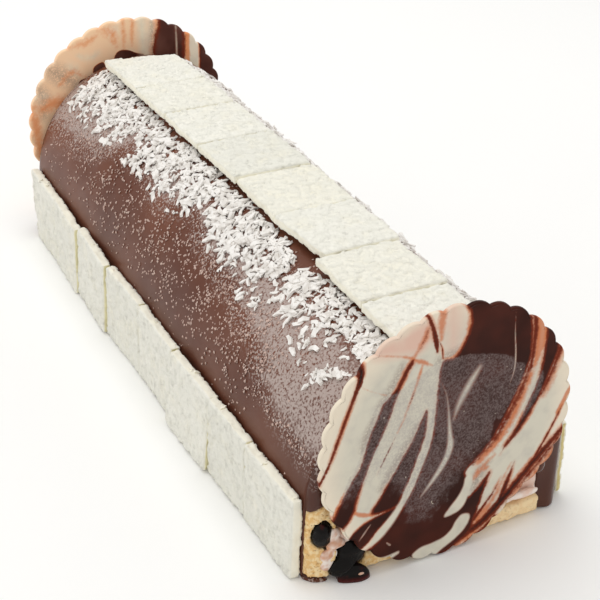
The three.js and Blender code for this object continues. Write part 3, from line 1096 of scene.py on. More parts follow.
@dataclass
class Relief:
    """Roughens a mesh by noise along its outward directions."""

    wear_size: float = 3.4
    wear_seed: float = 7.0
    rim_calm: float = 0.5
    tree: GeometryTree = field(init=False)

    def __post_init__(self) -> None:
        """Builds the tree."""
        layers = ("Grain", "Lump", "Shred")
        labels = [f"{layer} {measure}" for layer in layers for measure in ("Size", "Height")]
        tree = GeometryTree("surface_relief", dict.fromkeys([*labels, "Rim Wear", "Seed"], "NodeSocketFloat"))
        place, out = (tree.term(f"GeometryNodeInput{name}") for name in ("Position", "Normal"))
        rim, seed = tree.carried("rim"), tree.given("Seed")
        waves = (
            tree.noise(place, tree.given("Grain Size"), seed=seed),
            tree.noise(place, tree.given("Lump Size"), seed=seed),
            tree.shreds(place, tree.given("Shred Size")),
        )
        grain, lumps, shreds = (
            (wave - 0.5) * 2.0 * tree.given(f"{layer} Height") for layer, wave in zip(layers, waves)
        )
        wear = tree.noise(place, self.wear_size, 3.0, seed + self.wear_seed).ease(0.44, 0.72)
        offset = (grain + shreds) * (1.0 - rim * self.rim_calm) + lumps - wear * rim * tree.given("Rim Wear")
        moved = {"Geometry": tree.given("Geometry"), "Offset": tree.vector("SCALE", out, offset * MM)}
        tree.close(tree.term("GeometryNodeSetPosition", None, moved))
        self.tree = tree

    def apply(self, mesh: Mesh, material: Material, **sizes: float) -> Mesh:
        """Roughens a mesh.

        Args:
            mesh: The mesh, which is used up.
            material: Its finish.
            **sizes: Values for the tree's inputs, in words joined by underscores.

        Returns:
            The roughened mesh.
        """
        values = {name.replace("_", " ").title(): float(value) for name, value in sizes.items()}
        shaped = self.tree.run(mesh, {**values, "Material": material})
        shaped.shade_smooth()
        return shaped


@dataclass
class ChocolateCoat:
    """The chocolate coat: a smooth skin round the log and a thick lip with a drip at each end.

    The veil's edges are angles from the crest in degrees, the lower one by the place along the log.
    """

    wall: float = 1.5
    base: float = 1.6
    lip_line: float = 29.0
    lip_arch: float = 2.0
    lip_fall: float = 14.0
    lip_steps: int = 7
    lip_gap: float = 0.03
    lip_straight: float = 0.4
    lip_smoothing: int = 12
    drip_edge: float = 38.6
    drip_neck: float = 20.0
    drip_waist: float = -1.2
    drip_bulge: float = 2.0
    drip_swell: float = 1.4
    drip_spread: float = 3.0
    drip_fade: float = 12.0
    drip_lump: tuple[float, ...] = (35.2, -4.0, 21.3, 2.8, 3.6, 4.4)
    drip_shoulder: float = 10.0
    foot_edge: float = -38.0
    foot_height: float = 1.3
    beyond: float = 20.0
    unevenness: float = 0.22
    long_wave: float = 26.0
    short_wave: float = 9.0
    short_share: float = 0.4
    calm_end: float = 2.0
    calm_fade: float = 8.0
    calm_foot: float = 1.0
    voxel: float = 0.45
    stations: int = 170
    veil_start: float = 27.0
    veil_edge: Path = (
        (0, 71), (20, 71), (30, 70), (40, 66), (50, 58), (60, 55), (70, 52), (80, 47), (100, 46), (112, 43),
        (125, 38), (138, 44), (150, 47), (160, 42), (185, 40), (196, 50), (205, 54), (215, 57), (230, 59),
        (249, 60),
    )
    material: Material = field(init=False)

    def build(self) -> None:
        """Builds the skin and both lips."""
        self.material = CoatFinish().material()
        # The lips get a darker copy of the coat's chocolate, as painted shade at the ends, with a glossier
        # surface.
        deep, warm = srgb(82, 45, 33), srgb(98, 58, 43)
        thick = CoatFinish("thick_chocolate", gloss=0.3, rough=0.16, deep=deep, warm=warm).material()
        pieces = [("coat_skin", self.skin(), self.material)]
        pieces += [(f"coat_lip_{end.name.lower()}", self.lip(end), thick) for end in End]
        for name, mesh, material in pieces:
            self.mist(mesh)
            mesh.shade_smooth()
            settle(name, mesh, material, ["chocolate_coat"])

    def mist(self, mesh: Mesh) -> None:
        """Lets a mesh carry how far its places lie within the veil, in degrees about the log.

        Args:
            mesh: The mesh.
        """
        points = points_of(mesh)
        across = np.abs(points[:, 0] / SHAPE.half_width)
        angle = np.degrees(np.arctan2(across, (points[:, 2] - SHAPE.side_height) / SHAPE.crown_rise))
        edge = row_value(self.veil_edge, points[:, 1])
        carry(mesh, "veil", np.minimum(edge - angle, angle - self.veil_start))

    def skin(self) -> Mesh:
        """Makes the coat round the log, open at both ends, with its wall's thickness.

        Returns:
            The skin's mesh.
        """
        outer = SHAPE.outline()
        inner = SHAPE.outline(self.wall, self.base)
        along = np.linspace(0.0, SHAPE.length, self.stations)
        rings = [np.insert(outer, 1, y, axis=1) for y in along]
        rings += [np.insert(inner, 1, y, axis=1) for y in (along[-1], along[0])]
        mesh = tube("coat_skin", rings, looped=True)
        points = np.concatenate(rings)
        skin = np.arange(len(points)) < self.stations * len(outer)
        ends = np.minimum(points[:, 1], SHAPE.length - points[:, 1])
        free = skin * np.clip((ends - self.calm_end) / self.calm_fade, 0, 1) * (points[:, 2] > self.calm_foot)
        swell = ripples(points * [1, 0.5, 1], self.long_wave, 5)
        swell += self.short_share * ripples(points, self.short_wave, 8)
        move_points(mesh, points + normals_of(mesh) * (free * swell * self.unevenness)[:, None])
        return mesh

    def opening(self) -> Array:
        """Gives the bare part of an end face: below the lip, beside the drip, above the foot.

        Returns:
            A row of x and z for each point of its outline.
        """
        outside = SHAPE.half_width + self.beyond
        drip, lip, arch = self.drip_edge, self.lip_line, self.lip_arch
        neck = (drip + self.drip_waist, self.drip_neck)
        shoulder = (drip - self.drip_shoulder, lip - arch / 2)
        low = curve((drip, -self.beyond), (drip - self.drip_bulge, self.drip_neck / 2), neck)
        high = curve(neck, (drip - self.drip_bulge, lip), shoulder)
        quarter = (-SHAPE.half_width / 2, lip + arch / 2)
        fall = curve(quarter, (arch - SHAPE.half_width, lip + arch), (-outside, lip - self.lip_fall))
        edge, height = self.foot_edge, self.foot_height
        foot = [(-outside, height), (edge, height), (edge, -self.beyond)]
        return np.array(foot + low[:-1] + high + [(0.0, lip + arch)] + fall)

    def lip(self, end: End) -> Mesh:
        """Makes the lip that the coat ends in, with its drip, softly rounded.

        Args:
            end: The log's end; the far one's lip is turned about.

        Returns:
            The lip's mesh.
        """
        turns = np.linspace(0.0, math.pi / 2, self.lip_steps)
        insets = [SHAPE.lip * (1 - math.sin(turn)) for turn in turns] + [self.lip_gap, self.lip_gap]
        places = [-SHAPE.lip * math.cos(turn) for turn in turns] + [self.lip_straight, SHAPE.lip]
        rings = [np.insert(SHAPE.outline(inset), 1, y, axis=1) for inset, y in zip(insets, places)]
        hollow = prism(SHAPE.outline(self.wall, self.base), 0.0, self.beyond)
        mesh = cut(tube("coat_lip", rings), hollow, "DIFFERENCE")
        mesh = cut(mesh, prism(self.opening(), -self.beyond, 0.0), "DIFFERENCE")
        mesh = joined("coat_lip", [mesh, blob(self.drip_lump)])
        mesh = remeshed(mesh, self.voxel, self.lip_smoothing)
        points = points_of(mesh)
        middle = (self.drip_edge + SHAPE.half_width) / 2
        swell = hump(points[:, 0] - middle, self.drip_spread)
        swell *= np.clip((self.drip_neck - points[:, 2]) / self.drip_fade, 0, 1)
        points[:, 1] -= self.drip_swell * swell * (points[:, 1] < 0)
        move_points(mesh, points if end is End.FRONT else points * [-1, -1, 1] + [0, SHAPE.length, 0])
        return mesh


@dataclass
class Scatter:
    """Lays small pieces over a surface, as thick as the number that it carries says."""

    last_kind: int = 99
    tree: GeometryTree = field(init=False)

    def __post_init__(self) -> None:
        """Builds the tree."""
        inputs = dict.fromkeys(("Density", "Least Scale", "Most Scale", "Pile", "Tilt"), "NodeSocketFloat")
        inputs |= {"Seed": "NodeSocketInt", "Kinds": "NodeSocketCollection"}
        tree = GeometryTree("scattered_pieces", inputs)
        cover, seed = tree.carried("cover"), tree.given("Seed")
        spread = tree.node(
            "GeometryNodeDistributePointsOnFaces",
            {"distribute_method": "RANDOM"},
            {"Mesh": tree.given("Geometry"), "Density": cover * tree.given("Density"), "Seed": seed},
        )
        points, out, turn = (Term(tree, spread.outputs[name]) for name in ("Points", "Normal", "Rotation"))
        heap = cover * tree.given("Pile") * tree.drawn("FLOAT", 0.0, MM, Draw.PILE)
        lifted = {"Geometry": points, "Offset": tree.vector("SCALE", out, heap)}
        points = tree.term("GeometryNodeSetPosition", None, lifted)
        swing = tree.drawn("FLOAT_VECTOR", (-1, -1, 0), (1, 1, 0), Draw.TILT)
        swing = tree.vector("SCALE", swing, tree.given("Tilt"))
        spin = tree.drawn("FLOAT_VECTOR", (0, 0, 0), (0, 0, 2 * math.pi), Draw.SPIN)
        lean = tree.term("FunctionNodeEulerToRotation", None, {0: tree.vector("ADD", swing, spin)})
        local = {"rotation_space": "LOCAL"}
        basket = {"Collection": tree.given("Kinds"), "Separate Children": True, "Reset Children": True}
        scales = (tree.given("Least Scale"), tree.given("Most Scale"))
        laid = {
            "Points": points,
            "Instance": tree.term("GeometryNodeCollectionInfo", None, basket),
            "Pick Instance": True,
            "Instance Index": tree.drawn("INT", 0, self.last_kind, Draw.KIND),
            "Rotation": tree.term("FunctionNodeRotateRotation", local, {0: turn, 1: lean}),
            "Scale": tree.drawn("FLOAT", *scales, Draw.SCALE),
        }
        tree.close(tree.term("GeometryNodeInstanceOnPoints", None, laid))
        self.tree = tree

    def apply(self, ground: Mesh, kinds: Sequence[Mesh], values: Values) -> Mesh:
        """Scatters pieces on a ground.

        Args:
            ground: The surface that they lie on, which is used up.
            kinds: The shapes that they are drawn from, which are used up.
            values: Values for the tree's inputs.

        Returns:
            All the pieces in one mesh.
        """
        basket = bpy.data.collections.new("kinds")
        bpy.context.scene.collection.children.link(basket)
        for shape in kinds:
            basket.objects.link(bpy.data.objects.new("kind", shape))
        mesh = self.tree.run(ground, {**values, "Kinds": basket})
        for shape in kinds:
            bpy.data.meshes.remove(shape)
        bpy.data.collections.remove(basket)
        return mesh


@dataclass(frozen=True)
class Flake:
    """One bent, ragged flake of grated coconut, lying on its own ground."""

    length: Span = (1.6, 3.6)
    width: Span = (0.75, 1.5)
    height: Span = (0.45, 0.85)
    bend: Span = (-0.7, 0.7)
    taper: Span = (0.05, 0.4)
    ragged: tuple[float, float, float] = (0.22, 0.15, 0.1)
    sunk: float = 0.2

    def make(self, draw: np.random.Generator) -> Mesh:
        """Makes a flake.

        Args:
            draw: The stream of random numbers.

        Returns:
            The flake's mesh, at its own origin.
        """
        spans = (self.length, self.width, self.height, self.bend)
        length, width, height, bend = [draw.uniform(*span) for span in spans]
        rings = []
        for end in (-1.0, 0.0, 1.0):
            taper = 1.0 - draw.uniform(*self.taper) * end * end
            ring = []
            for side, top in ((-1, 0), (1, 0), (1, 1), (-1, 1)):
                across = side * width / 2 * taper + bend * end * end
                corner = (end * length / 2, across, height * (top - self.sunk) * taper)
                ring.append([part + draw.normal() * rag for part, rag in zip(corner, self.ragged)])
            rings.append(np.array(ring) - SHAPE.origin)
        return tube("flake", rings)


@dataclass(frozen=True)
class Crumb:
    """One small rounded crumb of coconut."""

    shape: tuple[float, float, float] = (1.3, 1.0, 0.8)
    reach: Span = (0.4, 0.7)
    sunk: float = 0.4

    def make(self, draw: np.random.Generator) -> Mesh:
        """Makes a crumb.

        Args:
            draw: The stream of random numbers.

        Returns:
            The crumb's mesh, at its own origin.
        """
        tips = np.array([[1, 0, 0], [0, 1, 0], [-1, 0, 0], [0, -1, 0], [0, 0, 1], [0, 0, -self.sunk]], float)
        points = tips * draw.uniform(*self.reach, (len(tips), 1)) * self.shape
        faces = [(0, 1, 4), (1, 2, 4), (2, 3, 4), (3, 0, 4), (1, 0, 5), (2, 1, 5), (3, 2, 5), (0, 3, 5)]
        mesh = new_mesh("crumb", points - SHAPE.origin, faces)
        mesh.shade_smooth()
        return mesh


@dataclass
class Coconut:
    """Grated coconut beside the crest, with strays and finer crumbs down the slopes.

    The edges of the band, the islands beside it and the crumbs are given by the place along the log
    and the angle from the crest in degrees. The far slope repeats the shown one, turned about, and has
    more flakes heaped against the crest.
    """

    upper_edge: Path = (
        (0, 16.5), (50, 16.5), (56, 20), (68, 21), (76, 17), (118, 16.5), (122, 20), (128, 16.5), (160, 17),
        (166, 20), (182, 19), (192, 18), (249, 18),
    )
    lower_edge: Path = (
        (4, 26), (10, 29), (24, 30), (40, 31), (48, 33), (56, 32), (66, 30), (72, 38), (80, 39), (100, 38),
        (112, 39), (117, 33), (122, 28), (126, 36), (132, 39), (145, 41), (160, 40), (175, 40), (182, 36),
        (188, 24), (192, 36), (200, 40), (215, 40), (240, 42), (246, 38),
    )
    upper_fade: float = 1.5
    lower_fade: float = 2.0
    islands: Path = (
        (12, 39, 2.5, 2.5), (16, 43, 3, 3), (20, 47, 3, 3), (23, 50, 2, 1.5), (29, 43, 2.5, 4.5),
        (36, 37, 3, 6), (48, 34, 6, 4), (59, 35, 4.5, 5), (63.5, 43.5, 3.5, 3.5), (75, 48, 3, 1.5),
        (84, 41, 4, 2.5), (93, 41.5, 3, 2.5), (133, 43, 2, 1), (145, 43, 2, 1), (156, 43, 2, 1),
        (174, 43, 2.5, 1.3), (181, 45, 2.5, 1.5), (202, 45, 3, 1.5), (210, 43, 3, 1.5), (230, 44, 3, 1.8),
        (238, 42, 4, 1),
    )
    island_cover: float = 0.8
    least_cover: float = 0.1
    stray_cover: float = 0.16
    stray_drop: float = 2.0
    stray_spread: float = 4.0
    heap_angles: Span = (15.5, 25.0)
    heap_fade: float = 4.0
    heap_run: Span = (28.0, 228.0)
    heap_cover: float = 0.9
    heap_lift: float = 1.0
    crumb_angles: Path = ((28, 0.1), (44, 0.2), (50, 0.42), (60, 0.42), (68, 0.28), (76, 0.14), (86, 0.02))
    crumb_run: Path = ((0, 0.04), (36, 0.06), (46, 1), (125, 1), (140, 0.65), (249, 0.5))
    crumb_row: tuple[float, float, float] = (70.0, 2.2, 48.0)
    row_cover: float = 0.4
    patch_size: float = 6.0
    patch_mean: float = 0.8
    patch_swing: float = 0.75
    patch_limits: Span = (0.06, 1.5)
    patch_seed: int = 17
    span: Span = (15.0, 88.0)
    margin: float = 4.0
    step: float = 1.0
    flake_density: float = 0.76e6
    crumb_density: float = 1.5e6
    kinds: int = 9
    seed: int = 41

    def build(self, scatter: Scatter) -> None:
        """Builds the flakes and the crumbs.

        Args:
            scatter: What lays them out.
        """
        draw = np.random.default_rng(self.seed)
        white = CoconutFinish("coconut", srgb(246, 243, 239), srgb(224, 219, 213)).material()
        flakes = [Flake().make(draw) for _ in range(self.kinds)]
        sizes = {"Least Scale": 0.35, "Most Scale": 1.35, "Pile": 1.2, "Tilt": 0.4, "Seed": 3}
        sizes |= {"Density": self.flake_density, "Material": white}
        heap = self.ground("heap", self.heap, [Side.RIGHT], self.heap_lift)
        heaped = scatter.apply(heap, [shape.copy() for shape in flakes], sizes)
        band = scatter.apply(self.ground("flakes", self.band), flakes, sizes)
        mesh = joined("coconut_flakes", [band, heaped])
        settle("coconut_flakes", mesh, white, ["chocolate_coat"])
        dusty = CoconutFinish("coconut_dust", srgb(216, 190, 178), srgb(192, 162, 150)).material()
        crumbs = [Crumb().make(draw) for _ in range(self.kinds)]
        sizes = {"Least Scale": 0.3, "Most Scale": 1.05, "Pile": 0.0, "Tilt": 0.4, "Seed": 8}
        sizes |= {"Density": self.crumb_density, "Material": dusty}
        mesh = scatter.apply(self.ground("crumbs", self.crumbs), crumbs, sizes)
        settle("coconut_crumbs", mesh, dusty)

    def band(self, along: Array, angle: Array) -> Array:
        """Gives how thickly flakes lie in the band, on its islands and beside them.

        Args:
            along: Places along the log.
            angle: Their angles from the crest in degrees.

        Returns:
            The cover at each place.
        """
        above, below = (row_value(edge, along) for edge in (self.upper_edge, self.lower_edge))
        cover = np.clip((angle - above) / self.upper_fade, 0, 1)
        cover *= np.clip((below - angle) / self.lower_fade + 0.5, 0, 1)
        for y, middle, reach, spread in self.islands:
            island = self.island_cover * hump(along - y, reach) * hump(angle - middle, spread)
            cover = np.maximum(cover, island)
        strays = self.stray_cover * hump(angle - below - self.stray_drop, self.stray_spread) * (angle > below)
        return np.maximum(np.where(cover < self.least_cover, 0.0, cover), strays)

    def heap(self, along: Array, angle: Array) -> Array:
        """Gives how thickly flakes are heaped against the crest on the far slope.

        Args:
            along: Places along the log.
            angle: Their angles from the crest in degrees.

        Returns:
            The cover at each place.
        """
        start, end = self.heap_angles
        cover = self.heap_cover * np.clip(angle - start, 0, 1) * np.clip((end - angle) / self.heap_fade, 0, 1)
        return cover * (along > self.heap_run[0]) * (along < self.heap_run[1])

    def crumbs(self, along: Array, angle: Array) -> Array:
        """Gives how thickly crumbs lie on the slopes.

        Args:
            along: Places along the log.
            angle: Their angles from the crest in degrees.

        Returns:
            The cover at each place.
        """
        slope = row_value(self.crumb_angles, angle) * row_value(self.crumb_run, along)
        middle, spread, end = self.crumb_row
        return np.maximum(slope, self.row_cover * hump(angle - middle, spread) * (along < end))

    def ground(self, name: str, cover: Cover, sides: Sequence[Side] = tuple(Side), lift: float = 0.0) -> Mesh:
        """Makes the slopes beside the crest, carrying how thickly they are covered.

        Args:
            name: The mesh's name.
            cover: What gives the cover by the place along the log and the angle from the crest.
            sides: Which slopes it has.
            lift: How far above the coat it lies.

        Returns:
            The slopes' mesh.
        """
        across = np.arange(*self.span, self.step)
        along = np.arange(self.margin, SHAPE.length - self.margin + self.step, self.step)
        grid_angle, grid_along = (part.ravel() for part in np.meshgrid(across, along, indexing="ij"))
        count = len(along)
        points, faces, covers = [], [], []
        for side in sides:
            shown = grid_along if side is Side.LEFT else SHAPE.length - grid_along
            x, z = SHAPE.crown(side.value * np.radians(grid_angle))
            start = len(points) * len(grid_angle)
            points.append(np.stack([x, grid_along, z + lift], -1))
            covers.append(cover(shown, grid_angle))
            for i in range(len(across) - 1):
                for a in range(start + i * count, start + (i + 1) * count - 1):
                    quad = (a, a + 1, a + 1 + count, a + count)
                    faces.append(quad if side is Side.LEFT else quad[::-1])
        places = np.concatenate(points)
        mesh = new_mesh(name, places, faces, closed=False)
        patches = self.patch_mean + self.patch_swing * ripples(places, self.patch_size, self.patch_seed)
        carry(mesh, "cover", np.concatenate(covers) * np.clip(patches, *self.patch_limits))
        return mesh


@dataclass
class WhiteTiles:
    """The rows of white chocolate tiles, with rough faces, worn edges and some coconut on the side rows.

    Each tile's tone is -1 for grey to 1 for buttery. The tones differ from tile to tile, and the left row
    leans grey as painted shade on its sideways faces.
    """

    # The left row's greyer tones are partly painted shade.
    left: tuple[float, ...] = (-0.3, -0.4, -0.1, -0.2, -0.3, -0.1, 0.1, 0.1)
    right: tuple[float, ...] = (0.6, 0.1, -0.3, 0.3, -0.2, 0.1, 0.4, -0.1)
    top: tuple[float, ...] = (0.1, 0.3, -0.1, 0.35, -0.5, 0.0, 0.2, 0.0)
    voxel: float = 0.62
    smoothing: int = 2
    growth: float = 0.6
    seeds: int = 97
    rim_start: float = 1.15
    rim_slope: float = 1.3
    joint_drop: float = 2.0
    joint_start: float = 2.0
    bit_density: float = 0.12e6
    bit_kinds: int = 7
    bit_seed: int = 7
    bit_upward: float = 0.5
    bit_margin: float = 1.0
    bit_patch: float = 24.0
    bit_swing: float = 1.4
    bit_drop: float = 0.2
    bit_most: float = 1.6

    def build(self, relief: Relief, scatter: Scatter) -> None:
        """Builds the three rows.

        Args:
            relief: What roughens them.
            scatter: What lays the coconut on them.
        """
        material = TileFinish().material()
        sizes = {"grain_size": 1.8, "grain_height": 0.3, "lump_size": 9.0, "lump_height": 0.3}
        sizes |= {"shred_size": TileFinish.shred_size, "shred_height": 0.34, "rim_wear": 0.4}
        grounds = []
        for row, tones in (("left", self.left), ("right", self.right), ("top", self.top)):
            for number, tone in enumerate(tones, 1):
                node = f"{row}_tile_{number}"
                seed = sum(map(ord, node)) % self.seeds
                shaped = relief.apply(self.slab(node, tone), material, seed=seed, **sizes)
                grounds.append(shaped.copy())
                settle(f"{node}_slab", shaped, material, [node])
        self.bits(joined("bits", grounds), material, scatter)

    def bits(self, ground: Mesh, material: Material, scatter: Scatter) -> None:
        """Lays stray grated coconut along the side tiles' upper edges.

        Args:
            ground: All the tiles in one mesh.
            material: The tiles' finish.
            scatter: What lays the bits out.
        """
        points, normals = points_of(ground), normals_of(ground)
        beside = np.abs(points[:, 0]) > SHAPE.half_width - self.bit_margin
        patches = self.bit_swing * ripples(points, self.bit_patch, 3) - self.bit_drop
        edges = (normals[:, 2] > self.bit_upward) & beside
        carry(ground, "cover", edges * np.clip(patches, 0, self.bit_most))
        draw = np.random.default_rng(self.bit_seed)
        kinds = [Flake().make(draw) for _ in range(self.bit_kinds)]
        sizes = {"Least Scale": 0.4, "Most Scale": 0.9, "Pile": 0.0, "Tilt": 0.3, "Seed": 5}
        sizes |= {"Density": self.bit_density, "Material": material}
        settle("tile_coconut", scatter.apply(ground, kinds, sizes), material)

    def slab(self, node: str, tone: float) -> Mesh:
        """Makes a tile's fine mesh, carrying its tone and where its cut edges are.

        Args:
            node: The tile's node.
            tone: The tile's tone.

        Returns:
            The tile's mesh, grown at its edges so that it meets the next one.
        """
        mesh = remeshed(merged_copy(node), self.voxel, self.smoothing)
        points, normals = points_of(mesh), normals_of(mesh)
        flat = np.linalg.svd(points - points.mean(0), full_matrices=False)[2][2]
        rim = np.clip(self.rim_start - np.abs(normals @ flat) * self.rim_slope, 0, 1)
        middle = (points[:, 1].min() + points[:, 1].max()) / 2
        points[:, 1] += (points[:, 1] - middle) * 2 * self.growth / np.ptp(points[:, 1])
        move_points(mesh, points)
        inner = (points[:, 1] > self.joint_start) | (points[:, 0] > 0)
        jointed = (points[:, 2] < SHAPE.crest - self.joint_drop) & inner
        carry(mesh, "rim", rim)
        carry(mesh, "joint", np.abs(normals[:, 1]) * rim * jointed)
        carry(mesh, "tone", np.array(tone))
        return mesh


@dataclass
class Filling:
    """The sponge, the cream and the two strands of cherries, with their soft, torn ends.

    A smear is given by its middle and its three radii.
    """

    end_depth: float = 7.0
    overlap: float = 0.3
    voxel: float = 0.5
    reach: float = 200.0
    sponge_swell: float = 0.45
    sponge_smoothing: int = 1
    cream_smoothing: int = 8
    smear_smoothing: int = 4
    cherry_smoothing: int = 16
    downward: float = -0.5
    smears: Path = (
        (-38.2, -3.7, 17.0, 2.6, 1.2, 2.4), (-37.6, -4.3, 13.3, 3.4, 1.2, 1.9),
        (-39.6, -3.9, 9.4, 3.2, 1.2, 2.4), (-39.9, -4.0, 5.6, 3.0, 1.1, 2.4),
        (-30.9, -9.2, 2.9, 1.3, 0.5, 0.6), (30.0, -6.2, 11.4, 6.0, 1.3, 1.9),
    )
    cherry: Material = field(init=False)

    def build(self, relief: Relief) -> None:
        """Builds the sponge, the cream, its smears and the cherries.

        Args:
            relief: What roughens them.
        """
        sponge, cream = SpongeFinish().material(), CreamFinish().material()
        self.cherry = CherryFinish().material()
        crumbly = {"grain_size": 1.5, "grain_height": 0.5, "lump_size": 5.0, "lump_height": 0.7, "seed": 2}
        whipped = {"grain_size": 3.0, "grain_height": 0.15, "lump_size": 8.0, "lump_height": 0.8, "seed": 5}
        wrinkled = {"grain_size": 1.6, "grain_height": 0.08, "lump_size": 4.2, "lump_height": 0.6, "seed": 9}
        ends = self.ends("sponge", self.sponge_smoothing, self.sponge_swell)
        body = self.through("sponge", [relief.apply(end, sponge, **crumbly) for end in ends])
        settle("sponge_body", body, sponge, ["sponge"])
        ends = self.ends("cream_filling", self.cream_smoothing)
        body = self.through("cream_filling", [relief.apply(end, cream, **whipped) for end in ends])
        settle("cream_body", body, cream, ["cream_filling"])
        smears = joined("smears", [blob(smear) for smear in self.smears])
        smears = remeshed(smears, self.voxel, self.smear_smoothing)
        settle("cream_smears", relief.apply(smears, cream, **whipped), cream)
        for strand in ("upper", "lower"):
            node = f"cherry_strand_{strand}"
            mesh = remeshed(merged_copy(node), self.voxel, self.cherry_smoothing)
            mesh = relief.apply(mesh, self.cherry, **wrinkled)
            settle(f"cherries_{strand}", mesh, self.cherry, [node])

    def ends(self, node: str, smoothing: int, swell: float = 0.0) -> list[Mesh]:
        """Makes the fine ends of a piece that runs through the log, where it shows.

        Args:
            node: The piece's node.
            smoothing: How soft its ends are.
            swell: How far its ends swell out.

        Returns:
            The near end and the far one.
        """
        far = SHAPE.length - self.end_depth
        ends = []
        for start, stop in ((-self.reach, self.end_depth), (far, far + self.reach)):
            end = cut(merged_copy(node), block(self.reach, start, stop), "INTERSECT")
            end = remeshed(end, self.voxel, smoothing)
            normals = normals_of(end)
            grown = swell * (normals[:, 2] > self.downward)
            move_points(end, points_of(end) + normals * grown[:, None])
            ends.append(end)
        return ends

    def through(self, node: str, ends: Sequence[Mesh]) -> Mesh:
        """Joins a piece's ends by the plain stretch between them.

        Args:
            node: The piece's node.
            ends: The near end and the far one.

        Returns:
            The piece's mesh.
        """
        start = self.end_depth - self.overlap
        middle = cut(merged_copy(node), block(self.reach, start, SHAPE.length - start), "INTERSECT")
        mesh = joined(node, [ends[0], middle, ends[1]])
        mesh.shade_smooth()
        return mesh


@dataclass(frozen=True)
class Stroke:
    """One pour of the marbling.

    A closed stroke's path is its outline. An open one's path has the half width as its third number.
    """

    tone: Tone
    path: Path
    soft: float = 0.8
    closed: bool = False

    def depth(self, places: Array) -> Array:
        """Measures how far places lie outside the stroke, in widths of its soft margin.

        Args:
            places: Places on the plaque, right and up from its middle.

        Returns:
            The distances, which are negative inside the stroke.
        """
        path = smooth_path(np.array(self.path, float), self.closed)
        best = np.full(len(places), np.inf)
        inside = np.zeros(len(places), bool)
        after = np.roll(path, -1, 0) if self.closed else path[1:]
        for a, b in zip(path, after):
            run = b[:2] - a[:2]
            share = np.clip((places - a[:2]) @ run / max(run @ run, 1e-9), 0, 1)
            gap = np.linalg.norm(places - a[:2] - share[:, None] * run, axis=1)
            best = np.minimum(best, gap if self.closed else gap - a[2] - share * (b[2] - a[2]))
            if self.closed and a[1] != b[1]:
                crossing = a[0] + (places[:, 1] - a[1]) * run[0] / run[1]
                inside ^= ((a[1] > places[:, 1]) != (b[1] > places[:, 1])) & (places[:, 0] < crossing)
        return np.where(inside, -best, best) / self.soft


def smooth_path(path: Array, closed: bool, steps: int = 5) -> Array:
    """Rounds a path of a few points.

    Args:
        path: The points that it passes through.
        closed: Whether it joins up with its start.
        steps: How many points each stretch gets.

    Returns:
        The rounded path.
    """
    if closed:
        before, after = path[-1:], path[:2]
    else:
        before, after = 2 * path[:1] - path[1:2], 2 * path[-1:] - path[-2:-1]
    reach = np.concatenate([before, path, after])
    rounded = []
    for a, b, c, d in zip(reach, reach[1:], reach[2:], reach[3:]):
        for t in np.arange(steps) / steps:
            slope, bow, twist = c - a, 2 * a - 5 * b + 4 * c - d, 3 * b - a - 3 * c + d
            rounded.append(b + 0.5 * t * (slope + t * (bow + t * twist)))
    if not closed:
        rounded.append(path[-1])
    return np.array(rounded)


